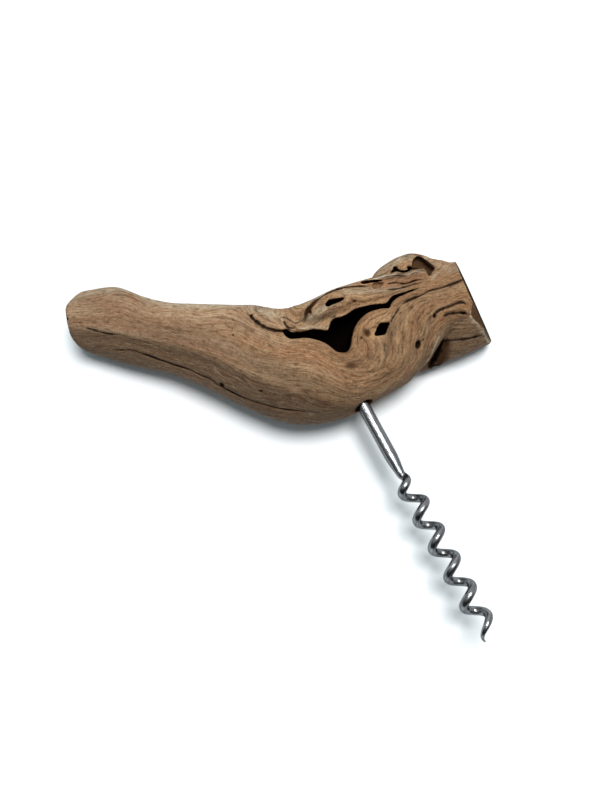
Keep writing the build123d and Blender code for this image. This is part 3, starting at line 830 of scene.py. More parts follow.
# Brush strokes of colour: each point has a half width and a strength
strokes = {
    # pale weathered wood on edges and tops, partly painted highlight on the lit tops of lobes and strands, on
    # lips and on rims; over a strength of 1 it turns to the near-white crest colour
    "pale": [
        [
            (-106.1, 38.1, 1.4, 0.5), (-100.7, 40.6, 1.4, 0.6), (-92.9, 41.9, 1.4, 0.7),
            (-85.2, 42.2, 1.4, 0.6), (-75.1, 37.9, 1.7, 0.8), (-63.7, 35.7, 1.7, 0.9),
            (-52.8, 35.6, 1.4, 0.8), (-41.1, 35.9, 1.4, 0.7),
        ],
        [(-38.7, 34.4, 1.4, 0.8), (-35.0, 33.0, 1.7, 0.9), (-31.0, 31.4, 1.7, 0.8), (-27.8, 30.9, 1.4, 0.5)],
        [(-22.2, 26.3, 0.5, 0.7), (-18.0, 26.8, 0.5, 1.0), (-13.4, 26.6, 0.5, 0.6)],
        [(-18.7, 29.6, 1.7, 0.7), (-15.2, 32.8, 1.7, 0.8), (-11.0, 34.5, 1.4, 0.6)],
        [(-6.0, 40.1, 1.4, 0.8), (0.8, 40.3, 1.4, 0.8), (8.1, 40.2, 1.4, 0.6), (14.1, 40.9, 1.0, 0.5)],
        [
            (3.2, 44.6, 0.5, 1.2), (6.4, 45.8, 0.5, 1.6), (9.4, 46.6, 0.42, 1.5), (11.5, 47.2, 0.4, 1.6),
            (12.8, 47.5, 0.4, 1.6), (14.5, 47.3, 0.4, 1.8), (17.1, 47.4, 0.4, 1.8), (18.9, 48.2, 0.4, 1.7),
            (20.7, 48.6, 0.38, 1.6), (23.2, 48.4, 0.35, 1.3),
        ],
        [
            (-20.4, 35.0, 0.9, 0.5), (-18.0, 36.7, 0.9, 0.8), (-15.1, 38.6, 0.8, 0.9),
            (-12.3, 40.4, 0.8, 1.0), (-9.4, 41.8, 0.7, 1.0), (-6.4, 42.6, 0.6, 1.0), (-3.7, 42.8, 0.6, 0.8),
        ],
        [(41.7, 36.8, 0.3, 1.2), (39.2, 33.1, 0.3, 1.2), (41.4, 29.9, 0.3, 1.0), (43.8, 26.4, 0.35, 1.0)],
        [(-22.5, 26.1, 0.35, 1.2), (-20.5, 26.4, 0.35, 1.5), (-18.1, 26.6, 0.35, 1.2)],
        [(25.3, 45.3, 0.5, 1.0), (26.6, 46.7, 0.6, 1.1), (28.1, 48.5, 0.6, 0.9)],
        [(7.9, 48.9, 1.7, 0.7), (11.5, 51.8, 1.7, 0.9), (15.4, 54.1, 1.7, 0.9), (18.5, 54.6, 1.4, 0.8)],
        [(28.2, 49.9, 1.7, 0.4), (33.2, 49.4, 1.7, 0.6), (40.4, 49.0, 1.4, 0.5)],
        [(39.0, 33.2, 0.4, 0.8), (40.2, 30.6, 0.4, 0.8), (43.3, 27.4, 0.4, 0.8), (46.0, 24.3, 0.7, 0.8)],
        [(22.6, 55.1, 1.0, 0.6), (26.0, 52.1, 1.0, 0.6), (32.7, 50.7, 1.0, 0.5)],
        [(28.3, 25.4, 0.4, 0.7), (25.9, 21.5, 0.4, 0.9), (24.7, 18.3, 0.4, 0.9), (22.9, 14.8, 0.4, 0.6)],
    ],
    # painted shade in the crease under the overhang and in gaps and grooves between the strands
    "dark": [
        [
            (29.6, 23.0, 0.8, 1.0), (29.0, 21.1, 1.2, 1.0), (28.2, 19.0, 1.5, 1.0), (27.2, 16.8, 1.5, 1.0),
            (26.2, 15.0, 1.3, 0.95),
        ],
        [(31.3, 22.5, 1.6, 0.40), (30.6, 19.9, 2.4, 0.42), (30.2, 17.5, 2.6, 0.45), (29.3, 15.4, 2.2, 0.50)],
        [(25.5, 14.1, 0.5, 0.9), (28.3, 14.4, 0.7, 0.8), (31.2, 14.6, 0.6, 0.5)],
        [(-30.5, 25.8, 0.4, 0.6), (-29.1, 25.6, 0.5, 0.9), (-27.8, 25.6, 0.5, 1.0)],
        [(18.2, 49.6, 0.6, 0.9), (19.6, 50.0, 0.8, 1.0), (21.4, 50.2, 0.7, 0.8)],
        [(-20.6, 29.0, 0.5, 0.3), (-19.6, 32.4, 0.8, 0.6), (-18.2, 34.6, 0.7, 0.6), (-16.2, 36.6, 0.4, 0.4)],
    ],
    "red": [
        [
            (-103.7, 30.0, 1.4, 0.4), (-90.3, 28.3, 1.4, 0.4), (-75.5, 25.2, 1.4, 0.35),
            (-60.7, 21.7, 1.4, 0.3), (-48.1, 16.9, 1.7, 0.3), (-37.5, 12.7, 1.7, 0.2),
        ],
        [
            (-29.0, 18.0, 2.0, 0.4), (-18.8, 16.6, 2.0, 0.45), (-10.4, 11.2, 2.0, 0.4),
            (-3.5, 7.2, 1.7, 0.4), (3.6, 7.9, 1.7, 0.3), (8.9, 12.1, 1.7, 0.3),
        ],
        [(0.3, 25.8, 1.2, 0.9), (0.3, 23.5, 1.0, 0.6)],
        [(-5.6, 14.3, 1.4, 0.9), (-3.2, 13.3, 1.0, 0.6)],
        [(-27.8, 31.3, 0.5, 0.7), (-25.7, 28.5, 0.5, 0.8), (-23.2, 26.3, 0.5, 1.0), (-20.8, 26.0, 0.5, 1.0)],
        [(-94.3, 34.9, 2.0, 0.4), (-83.3, 33.4, 2.0, 0.3), (-68.3, 29.4, 2.0, 0.3)],
        [(-12.8, 34.2, 0.9, 0.8), (-10.7, 34.5, 0.7, 0.5)],
        [(0.3, 43.7, 0.5, 0.9), (3.8, 43.0, 0.5, 0.8)],
        [(25.3, 52.2, 1.4, 0.8), (27.1, 51.2, 1.4, 0.8), (28.9, 50.7, 1.2, 0.5)],
        [
            (9.2, 43.5, 2.2, 0.7), (13.0, 44.5, 2.2, 0.8), (17.5, 45.4, 2.2, 0.8), (21.4, 46.7, 2.0, 0.8),
            (24.1, 48.0, 1.2, 0.6),
        ],
    ],
    "shade": [  # partly darker wood and partly painted shade where the wood turns from the light; below nought, painted light on lit top edges and the upper belly
        [
            (-48.1, 19.0, 3.0, 0.18), (-39.3, 14.7, 3.6, 0.30), (-30.7, 11.2, 4.2, 0.38),
            (-22.2, 7.8, 4.6, 0.42), (-13.7, 5.1, 4.6, 0.42), (-5.9, 3.4, 4.0, 0.38), (0.6, 2.4, 3.0, 0.25),
        ],
        [
            (-103.6, 27.4, 2.2, 0.22), (-94.0, 26.9, 2.2, 0.22), (-82.8, 26.0, 2.2, 0.24),
            (-71.7, 24.7, 2.4, 0.25), (-60.8, 23.1, 2.6, 0.22), (-51.7, 20.5, 2.8, 0.16),
        ],
        [(-97.5, 35.8, 2.2, 0.12), (-89.9, 34.9, 2.4, 0.16), (-81.5, 33.7, 2.0, 0.12)],
        [
            (-22.2, 30.4, 1.6, 0.22), (-17.0, 29.6, 1.8, 0.35), (-12.9, 31.1, 2.0, 0.40),
            (-8.3, 34.3, 1.8, 0.30), (-4.1, 36.5, 1.4, 0.15),
        ],
        [
            (-9.4, 23.7, 3.0, 0.22), (-5.8, 19.2, 3.4, 0.28), (-3.3, 13.9, 3.4, 0.28),
            (1.6, 15.3, 3.4, 0.28), (6.1, 19.8, 3.2, 0.30),
        ],
        [
            (7.2, 21.2, 2.4, 0.20), (9.4, 25.1, 2.6, 0.42), (11.3, 28.6, 2.6, 0.42),
            (14.2, 32.6, 2.4, 0.32), (19.1, 36.0, 2.2, 0.26), (25.5, 38.8, 2.0, 0.22),
            (33.1, 42.0, 1.8, 0.20),
        ],
        [
            (2.6, 5.9, 3.2, 0.22), (9.6, 11.4, 3.6, 0.28), (16.0, 17.4, 3.6, 0.30), (19.7, 22.7, 3.4, 0.30),
            (21.6, 28.3, 3.0, 0.30), (25.0, 32.7, 2.2, 0.22),
        ],
        [(15.7, 55.3, 1.4, 0.25), (18.3, 55.9, 1.6, 0.40), (20.7, 55.7, 1.4, 0.30)],
        [
            (5.2, 45.6, 1.4, 0.25), (8.7, 46.2, 1.8, 0.32), (14.3, 47.3, 2.0, 0.32),
            (19.4, 47.7, 1.8, 0.30), (25.4, 50.8, 1.4, 0.18),
        ],
        [(-38.5, 34.8, 1.4, 0.20), (-36.2, 35.2, 1.4, 0.25), (-33.0, 35.0, 1.4, 0.20)],
        [(42.2, 27.0, 1.8, 0.20), (46.2, 24.5, 1.4, 0.22)],
        [
            (-71.0, 35.7, 1.8, -0.10), (-61.6, 34.3, 2.2, -0.20), (-52.5, 33.8, 2.0, -0.16),
            (-43.5, 33.3, 1.8, -0.10),
        ],
        [
            (-52.0, 28.4, 2.2, -0.10), (-49.4, 26.8, 2.2, -0.16), (-42.9, 23.1, 2.4, -0.24),
            (-35.2, 19.5, 2.0, -0.22), (-22.2, 17.6, 1.8, -0.18), (-13.4, 16.2, 1.4, -0.12),
        ],
        [
            (-76.7, 14.1, 1.8, -0.06), (-63.5, 10.0, 2.0, -0.12), (-52.5, 4.9, 2.2, -0.14),
            (-43.4, 1.0, 2.2, -0.10),
        ],
        [(-4.4, 42.0, 1.0, -0.10), (-0.1, 43.0, 1.4, -0.25), (4.4, 44.6, 1.4, -0.25)],
        [(-22.9, 33.6, 1.2, -0.16), (-20.1, 35.8, 1.2, -0.14)],
        [
            (-84.2, 39.0, 2.0, -0.10), (-76.6, 36.0, 2.8, -0.18), (-67.2, 33.8, 3.6, -0.20),
            (-58.0, 32.8, 3.8, -0.20), (-47.2, 33.4, 3.0, -0.18), (-39.9, 33.0, 2.4, -0.18),
            (-35.5, 31.0, 1.8, -0.16),
        ],
        [
            (-42.9, 7.9, 4.0, 0.10), (-34.2, 3.8, 5.0, 0.16), (-25.6, 1.1, 5.5, 0.20),
            (-17.1, -0.7, 5.0, 0.18), (-8.5, -0.7, 3.5, 0.12),
        ],
        [(32.7, 26.3, 2.2, 0.14), (36.3, 25.5, 2.2, 0.16), (39.2, 26.6, 1.6, 0.14)],
        [
            (-21.5, 29.2, 1.0, 0.18), (-18.1, 29.1, 1.2, 0.22), (-14.6, 30.2, 1.4, 0.25),
            (-10.4, 31.7, 1.2, 0.22),
        ],
    ],
}

# Below this line the side of the wood, turned from the light, is painted greyer and darker: partly weathered
# grey, partly painted shade
greyShadeLine = [
    (-112.0, 27.8), (-107.5, 27.6), (-94.2, 26.2), (-83.0, 24.6), (-71.8, 22.3), (-57.1, 18.5),
    (-48.1, 14.9), (-42.8, 12.0), (-35.8, 8.6), (-29.0, 6.1), (-18.8, 3.1), (-8.5, 0.4), (4.1, 2.8),
    (11.4, 7.4), (17.9, 12.5), (22.3, 18.5), (25.5, 23.4), (28.8, 28.5), (33.3, 31.4), (39.5, 32.2),
    (56.0, 33.0),
]

# Lines that the grain follows on the upper side, each with its place across the grain in mm
grainLines = [
    (-1, [(-105.5, 39.5), (-96, 42), (-86, 42.5), (-75, 38), (-58.5, 36), (-42, 36), (-29.5, 33)]),
    (4.5, [
        (-106, 36.5), (-94.5, 37), (-83.5, 36), (-67, 32.5), (-52, 30.5), (-41.5, 27.5), (-34, 23.5),
        (-27.5, 20.5), (-19, 20), (-12, 17.5), (-7.5, 16), (-4, 17.5), (-2, 21.5), (-1, 26.5), (1, 30),
        (5.5, 32), (10.5, 35.5), (16, 39),
    ]),
    (8, [
        (-106, 32.5), (-94, 32.5), (-83, 31), (-64.5, 27), (-50, 23.5), (-41, 20), (-34, 17), (-25.5, 16),
        (-16, 15), (-10.5, 12), (-5.5, 10), (0, 10), (4.5, 12), (8, 16), (9.5, 20.5), (11, 26.5),
        (12.5, 31), (16.5, 34.5), (23.5, 38), (31, 40), (37, 42),
    ]),
    (12, [
        (-105.5, 29), (-83, 27), (-64.5, 22.5), (-51.5, 18.5), (-41, 14.5), (-32.5, 12), (-22, 11),
        (-15.5, 9.5), (-10.5, 7), (-5, 5), (0, 5), (5.5, 6.5), (12, 10), (16.5, 15.5), (18.5, 20.5),
        (20, 26), (22.5, 32), (27.5, 35.5), (33, 38), (37.5, 39),
    ]),
    (16, [
        (-103.5, 24), (-83, 22), (-64.5, 18.5), (-51.5, 14.5), (-43, 10), (-34, 6.5), (-22, 5), (-12, 2.5),
        (-1.5, 1.5), (8, 4), (16, 9), (21, 15.5), (24, 21.5), (26, 27), (29.5, 30), (39, 31.5),
    ]),
    (20, [
        (-100, 20), (-83.5, 19.5), (-72.5, 16), (-61, 12.5), (-51, 7), (-43, 3), (-34.5, 0), (-22, -2),
        (-12, -3.5), (-4, -1),
    ]),
    (24, [(-84.5, 16), (-71.5, 12.5), (-58, 7.5), (-45.5, 1.5), (-33, -4), (-22, -5.5), (-11.5, -6)]),
    (20, [(3, 1), (11.5, 5.5), (19, 11), (24, 17)]),
    (-3, [(-38, 33), (-31, 30.5), (-28, 29)]),
    (-3, [(-21, 26.5), (-16, 28.5), (-12.5, 32), (-6.5, 34), (0.5, 36), (8, 38), (14, 40.5), (22.5, 43.5)]),
    (-7, [(-25, 31.5), (-21, 32.5), (-16, 36), (-11, 39.5), (-4.5, 41), (4.5, 41), (13.5, 43), (23.5, 46.5)]),
    (-11, [(-22, 34.5), (-15, 38), (-8, 42), (2, 43.5), (8.5, 44.5), (14.5, 46.5), (24.5, 48.5)]),
    (-15, [(8.5, 50), (13, 52), (16.5, 54)]),
    (24, [(30, 21), (37.5, 22.5), (45, 24.5)]),
    (28, [(25.5, 14), (35, 17), (45.5, 22)]),
]

grainRelief = [  # height, width across the grain and length along it
    (0.30, 7.0, 45.0),
    (0.22, 2.6, 24.0),
    (0.12, 1.3, 14.0),
    (0.06, 0.75, 5.0),
]


sheetLow, sheetHigh = (-112.0, -14.0), (60.0, 64.0)  # corners of the leaning plane's drawn part


class Sheet:
    # A grid of numbers on the leaning plane, read between its points
    def __init__(self, step):
        self.step = step
        self.low = np.array(sheetLow)
        size = np.ceil((np.array(sheetHigh) - self.low) / step).astype(int) + 1
        axes = [self.low[i] + step * np.arange(size[i]) for i in (0, 1)]
        self.a, self.b = np.meshgrid(*axes, indexing="ij")

    def read(self, values, a, b):
        return readTable(values, (a - self.low[0]) / self.step, (b - self.low[1]) / self.step, np.float32)


def grainAcross():
    # Place across the grain on a coarse sheet: a thin-plate surface, the sum of r^2 log r over the
    # points of the grain lines plus a plane, that takes each line's value along it
    coarse = Sheet(1.0)
    slack = 2.0  # how loosely the surface holds to the lines
    points = np.concatenate([np.array(line, float) for _, line in grainLines])
    values = np.concatenate([np.full(len(line), level, float) for level, line in grainLines])

    def kernel(dx, dy):
        square = dx * dx + dy * dy
        return 0.5 * square * np.log(square + 1e-9)

    n = len(points)
    system = np.zeros((n + 3, n + 3))
    gap = points[:, None, :] - points[None, :, :]
    system[:n, :n] = kernel(gap[..., 0], gap[..., 1]) + slack * np.eye(n)
    plane = np.hstack([np.ones((n, 1)), points])
    system[:n, n:], system[n:, :n] = plane, plane.T
    weight = np.linalg.solve(system, np.concatenate([values, np.zeros(3)]))
    a, b = coarse.a.ravel(), coarse.b.ravel()
    total = weight[n] + weight[n + 1] * a + weight[n + 2] * b
    total = total + kernel(a[:, None] - points[:, 0], b[:, None] - points[:, 1]) @ weight[:n]
    return coarse, total.reshape(coarse.a.shape)


def trunkPlan():
    # For each point in plan: the place along the trunk, the distance across it and its section
    # there. A section is the line across the heading through the trunk's middle, so the place is
    # where the offset from the middle has no part along the heading.
    xs = np.arange(woodGrid["low"][0] - 1, woodGrid["high"][0] + 2, 1.0)
    ys = np.arange(woodGrid["low"][1] - 1, woodGrid["high"][1] + 2, 1.0)
    line, run = hermiteCurve(trunkStations, strandStep)
    heading = np.radians(line[:, 2])
    along = np.stack([np.cos(heading), np.sin(heading)], 1)
    px, py = [g.ravel() for g in np.meshgrid(xs, ys, indexing="ij")]
    dx, dy = px[:, None] - line[:, 0], py[:, None] - line[:, 1]
    ahead = dx * along[:, 0] + dy * along[:, 1]
    across = -dx * along[:, 1] + dy * along[:, 0]
    passed = (ahead[:, :-1] >= 0) & (ahead[:, 1:] < 0)
    found = np.where(passed, np.abs(across[:, :-1]), 1e6).argmin(1)
    rows = np.arange(len(px))
    share = ahead[rows, found] / np.maximum(ahead[rows, found] - ahead[rows, found + 1], 1e-6)
    share = np.where(passed[rows, found], np.clip(share, 0, 1), 0)
    place = found + share
    table = {"place": np.interp(place, np.arange(len(run)), run)}
    table["across"] = across[rows, found] * (1 - share) + across[rows, found + 1] * share
    for name, column in (("halfWidth", 3), ("halfHeight", 4), ("rise", 5)):
        table[name] = np.interp(place, np.arange(len(run)), line[:, column])
    return xs, ys, {name: value.reshape(len(xs), len(ys)) for name, value in table.items()}


sheet = Sheet(0.25)
coarseSheet, acrossCoarse = grainAcross()
acrossSheet = coarseSheet.read(acrossCoarse, sheet.a, sheet.b).astype(np.float32)
planX, planY, trunkTable = trunkPlan()


def readPlan(x, y):
    u = (x - planX[0]) / (planX[1] - planX[0])
    v = (y - planY[0]) / (planY[1] - planY[0])
    return {name: readTable(values, u, v, float) for name, values in trunkTable.items()}


def alongLine(line, place, column):
    return np.interp(place, np.linspace(0, 1, len(line)), line[:, column])


def softStroke(points, reach):
    # Strength times exp(-(gap / half width)^2), where gap is the distance from the stroke's curve
    line, _ = hermiteCurve(points, strokeStep)
    gap, place = lineDistance(sheet.a, sheet.b, line[:, :2], reach)
    return alongLine(line, place, 3) * np.exp(-((gap / alongLine(line, place, 2)) ** 2))


def drawRidges():
    # Each rib's section is its height times (1 - (gap / half width)^2)^0.75, and it runs out at both
    # ends as a square root
    relief = np.zeros(sheet.a.shape, np.float32)
    for points in reliefRidges.values():
        line, _ = hermiteCurve(points, strokeStep)
        gap, place = lineDistance(sheet.a, sheet.b, line[:, :2], strokeReach)
        section = np.clip(1 - (gap / alongLine(line, place, 2)) ** 2, 0, 1) ** 0.75
        ends = np.clip(np.minimum(place, 1 - place) / 0.06, 0, 1)
        relief = np.maximum(relief, alongLine(line, place, 3) * section * np.sqrt(ends))
    return relief


def cutLines(relief):
    # Cuts a V into the relief along each line, and gives the nearest line's distance over its half
    # width, which is greater for the shallow lines so that they are painted less dark
    nearest = np.full(sheet.a.shape, 9.0, np.float32)
    for mark in reliefLines.values():
        line, _ = hermiteCurve(mark["points"], strokeStep)
        gap, place = lineDistance(sheet.a, sheet.b, line, 4.0)
        wander = 1 + 0.35 * latticeNoise(place * 14, place * 0 + 3, len(mark["points"]))
        taper = np.clip(np.minimum(place / 0.12, (1 - place) / 0.2), 0.25, 1) * wander
        ratio = np.abs(gap / (mark["width"] * taper))
        relief -= mark["depth"] * taper * np.clip(1 - ratio, 0, 1) ** 1.3
        nearest = np.minimum(ratio + 0.6 * max(0.0, 1 - mark["depth"] / 0.8), nearest)
    return nearest


def drawSpots(relief, across):
    # Sinks each spot by depth exp(-s^4), with s the distance over its half sizes, presses a shallow
    # ring round it, swings the grain aside and gives the darkness
    dark = np.zeros(sheet.a.shape, np.float32)
    for a, b, halfA, halfB, turned, depth, darkness, swing in spots:
        t = math.radians(turned)
        da, db = sheet.a - a, sheet.b - b
        u = (da * math.cos(t) + db * math.sin(t)) / halfA
        v = (db * math.cos(t) - da * math.sin(t)) / halfB
        square = u * u + v * v
        ring = np.exp(-((np.sqrt(square) - 1.8) ** 2) * 2)
        relief -= depth * np.exp(-(square**2)) - (0.35 * swing / 2) * ring
        dark = np.maximum(dark, darkness * np.exp(-(square**2) * 0.8))
        across += swing * np.exp(-square / 5)
    return dark


def drawSheets():
    # All that is drawn on the leaning plane, by name
    drawn = {"relief": drawRidges(), "across": acrossSheet.copy()}
    drawn["crack"] = cutLines(drawn["relief"])
    drawn["dark"] = drawSpots(drawn["relief"], drawn["across"])
    for kind in ("pale", "red", "dark"):
        total = drawn.get(kind, np.zeros(sheet.a.shape, np.float32))
        for points in strokes[kind]:
            total = np.maximum(total, softStroke(points, strokeReach))
        drawn[kind] = total
    drawn["shade"] = np.zeros(sheet.a.shape, np.float32)
    for points in strokes["shade"]:
        drawn["shade"] += softStroke(points, 2 * strokeReach)
    line, _ = hermiteCurve(greyShadeLine, 1.0)
    drawn["greyAndShade"], _ = lineDistance(sheet.a, sheet.b, line, 30.0)
    return drawn


drawn = drawSheets()
hollowSheets = {name: outlineDistance(sheet.a, sheet.b, h["outline"]) for name, h in hollows.items()}
print("grain and marks drawn")


def hollowDistance(name, a, b, height):
    # Signed distance from a hollow's wall, in its outline drawn in by narrowing s: the outline is
    # read at m + (p - m) / (1 - s), where m is its middle
    hollow = hollows[name]
    middle = np.mean(hollow["outline"], axis=0)
    share = np.clip((hollowTop - height) / (hollowTop - hollow["floor"]), 0, 1)
    kept = 1 - hollow["narrowing"] * share
    readA, readB = middle[0] + (a - middle[0]) / kept, middle[1] + (b - middle[1]) / kept
    return sheet.read(hollowSheets[name], readA, readB)


def upperSide(z, middle, across):
    # 1 above the middle of the section, and lower down too on the side nearer the eye, 0 elsewhere
    return np.maximum(easeStep((z - middle) / 4 + 1.2), easeStep((z + 15.5) / 4) * easeStep(0.5 - across / 6))


def strandDistance(name, x, y, z):
    # An upright oval that follows the strand's curve from its first x to its last
    node = np.array(strands[name])
    line, _ = hermiteCurve(node, strandStep)
    columns = [np.interp(x, line[:, 0], column).astype(np.float32) for column in line.T[1:]]
    middleY, middleZ, halfWidth, halfHeight = columns
    oval = ovalDistance(y - middleY, z - middleZ, halfWidth, halfHeight)
    return np.maximum(oval, np.maximum(node[0, 0] - x, x - node[-1, 0]))


def addRelief(field, plan, middle, a, b, z):
    # Drawn relief on the upper side and grain of four sizes all round, where the skin is near
    skin = np.abs(field) < 5

    def near(values):
        return np.broadcast_to(values, field.shape)[skin]

    a, b, across, height = near(a), near(b), near(plan["across"]), near(z - middle)
    facing = upperSide(near(z), near(middle), across)
    raised = sheet.read(drawn["relief"], a, b) * facing
    seenAcross = sheet.read(drawn["across"], a, b)
    hiddenAcross = np.arctan2(height, across) * girthRadius
    along = near(plan["place"])
    for i, (high, width, length) in enumerate(grainRelief):
        seen = latticeNoise(seenAcross / width, along / length + 7 * i, 20 + i)
        hidden = latticeNoise(hiddenAcross / width, along / length + 7 * i, 40 + i)
        raised += high * (seen * facing + hidden * (1 - facing))
    field[skin] -= raised


def cutHollow(field, name, a, b, z):
    # Takes the hollow out of the field, in the box round its outline and down to below its floor
    hollow = hollows[name]
    box = hollowSheets[name] < 2.5
    lowA, highA, lowB, highB = sheet.a[box].min(), sheet.a[box].max(), sheet.b[box].min(), sheet.b[box].max()
    wideA, wideB = np.broadcast_to(a, field.shape), np.broadcast_to(b, field.shape)
    zone = (wideA > lowA) & (wideA < highA) & (wideB > lowB) & (wideB < highB) & (z > hollow["floor"] - 3)
    height = np.broadcast_to(z, field.shape)[zone]
    shape = hollowDistance(name, wideA[zone], wideB[zone], height)
    shape = softMax(shape, hollow["floor"] - height, 1.5)
    field[zone] = softMax(field[zone], -shape, hollow["blend"])


def drillBore(field, x, y, z):
    # A round hole along +Y with a drill's point, its mouth worn wider
    radius = np.sqrt(x**2 + z**2)
    slope = math.tan(math.radians(boreSize["pointAngle"] / 2))
    tip = boreSize["depth"] + (boreSize["radius"] - radius) / slope
    worn = boreSize["mouthWorn"] * easeStep(1 - y / boreSize["mouthDepth"])
    bore = np.maximum(radius - boreSize["radius"] - worn, y - tip)
    near = np.broadcast_to((np.abs(x) < 6) & (np.abs(z) < 6) & (y < 24), field.shape)
    field[near] = softMax(field[near], -np.broadcast_to(bore, field.shape)[near], 0.3)


def woodField(step):
    # Signed distance from the wood's skin, negative inside, on a grid: the trunk's oval sections
    # and the strands grown together, raised by the relief, and cut back by all that was taken away
    corners = zip(woodGrid["low"], woodGrid["high"])
    axes = [np.arange(low, high + step, step, dtype=np.float32) for low, high in corners]
    x, y, z = axes[0][:, None, None], axes[1][None, :, None], axes[2][None, None, :]
    plan = readPlan(*np.meshgrid(axes[0], axes[1], indexing="ij"))
    plan = {name: values.astype(np.float32)[:, :, None] for name, values in plan.items()}
    middle = plan["rise"] + plan["halfHeight"] + tableHeight
    field = ovalDistance(plan["across"], z - middle, plan["halfWidth"], plan["halfHeight"])
    for name, blend in strandBlend.items():
        field = softMin(field, strandDistance(name, x, y, z), blend)
    a = (x * rightWay[0] + y * rightWay[1] + z * rightWay[2]).astype(np.float32)
    b = (x * upWay[0] + y * upWay[1] + z * upWay[2]).astype(np.float32)
    addRelief(field, plan, middle, a, b, z)
    for name in hollows:
        cutHollow(field, name, a, b, z)
    for origin, normal, blend in cutFaces.values():
        plane = x * normal[0] + y * normal[1] + z * normal[2] - float(np.dot(origin, normal))
        field = softMax(field, plane.astype(np.float32), blend)
    field = softMax(field, (tableHeight - z).astype(np.float32), 0.8)
    drillBore(field, x, y, z)
    return axes, field


def surfaceNet(axes, field):
    # One point in each cell that the surface crosses, at the mean of the crossings on the cell's
    # edges, and one face across each grid edge that changes sign
    inside = field < 0
    shape = np.array(field.shape) - 1
    some = np.zeros(shape, bool)
    every = np.ones(shape, bool)
    corners = [(i, j, k) for i in (0, 1) for j in (0, 1) for k in (0, 1)]
    for i, j, k in corners:
        part = inside[i : i + shape[0], j : j + shape[1], k : k + shape[2]]
        some |= part
        every &= part
    cells = np.argwhere(some & ~every)
    number = np.full(shape, -1, np.int32)
    number[tuple(cells.T)] = np.arange(len(cells))
    total = np.zeros((len(cells), 3))
    count = np.zeros(len(cells))
    value = {corner: field[tuple((cells + corner).T)] for corner in corners}
    for corner in corners:
        for axis in (0, 1, 2):
            if corner[axis]:
                continue
            other = tuple(1 if n == axis else corner[n] for n in (0, 1, 2))
            f0, f1 = value[corner], value[other]
            crossed = (f0 < 0) != (f1 < 0)
            spot = np.array(corner, float) + np.zeros((len(cells), 3))
            spot[:, axis] = np.where(crossed, f0 / np.where(crossed, f0 - f1, 1), 0)
            total += spot * crossed[:, None]
            count += crossed
    points = cells + total / count[:, None]
    step = axes[0][1] - axes[0][0]
    points = points * step + np.array([axis[0] for axis in axes])
    faces = []
    for axis, one, two in ((0, 1, 2), (1, 2, 0), (2, 0, 1)):
        first = [slice(1, -1)] * 3
        second = [slice(1, -1)] * 3
        first[axis], second[axis] = slice(0, -1), slice(1, None)
        a, b = inside[tuple(first)], inside[tuple(second)]
        for rising in (False, True):
            spots = np.argwhere((a & ~b) if rising else (~a & b))
            spots[:, one] += 1
            spots[:, two] += 1
            ring = []
            for back1, back2 in ((1, 1), (0, 1), (0, 0), (1, 0)):
                cell = spots.copy()
                cell[:, one] -= back1
                cell[:, two] -= back2
                ring.append(number[tuple(cell.T)])
            quad = np.stack(ring, 1)
            faces.append(quad if rising else quad[:, ::-1])
    return points, np.concatenate(faces)


def applyModifier(thing):
    graph = bpy.context.evaluated_depsgraph_get()
    done = bpy.data.meshes.new_from_object(thing.evaluated_get(graph))
    old = thing.data
    thing.modifiers.clear()
    thing.data = done
    bpy.data.meshes.remove(old)


def dropFlaps(mesh):
    # Thinning can fold the skin flat on itself, as two faces with the same corners: both go
    bm = bmesh.new()
    bm.from_mesh(mesh)
    alike = {}
    for face in bm.faces:
        alike.setdefault(frozenset(face.verts), []).append(face)
    flaps = [face for faces in alike.values() if len(faces) == 2 for face in faces]
    bmesh.ops.delete(bm, geom=flaps, context="FACES")
    bm.to_mesh(mesh)
    bm.free()


def makeHandle():
    axes, field = woodField(woodGrid["step"])
    print("wood field worked out", field.shape)
    points, faces = surfaceNet(axes, field)
    print("wood skin has", len(points), "points and", len(faces), "faces")
    handle = meshObject("gnarled_handle", points * millimetre, faces)
    triangles = 2 * len(faces)
    if triangles > woodGrid["triangles"]:
        thin = handle.modifiers.new("thin", "DECIMATE")
        thin.ratio = woodGrid["triangles"] / triangles
        applyModifier(handle)
        dropFlaps(handle.data)
    print("handle has", sum(len(p.vertices) - 2 for p in handle.data.polygons), "triangles")
    setWoodValues(handle)
    return handle


def cutShare(points, normals, cut, cosine, edge, depth):
    # 1 where the skin faces as the cut does, to within a cosine, and lies less than depth inside it
    origin, way = np.array(cut[0]), np.array(cut[1])
    return easeStep((normals @ way - cosine) / edge) * easeStep(1 + ((points - origin) @ way) / depth)


def hollowShade(p, a, b):
    # Painted shade: 0 at a hollow's mouth to its darkness deep inside, and 1 in the drilled hole, fading out
    # on the wood round its mouth
    shade = np.zeros(len(p))
    for name, hollow in hollows.items():
        start, stretch = hollow["shadow"]
        inside = easeStep(0.8 - hollowDistance(name, a, b, p[:, 2]) / 0.5)
        deep = easeStep((hollow["level"] - p[:, 2] - start) / stretch)
        shade = np.maximum(shade, hollow["darkness"] * inside * deep)
    ring = easeStep((boreSize["mouthShadeRadius"] - np.hypot(p[:, 0], p[:, 2])) / boreSize["mouthShadeEdge"])
    return np.maximum(shade, ring * (p[:, 1] < boreSize["depth"] + 2))


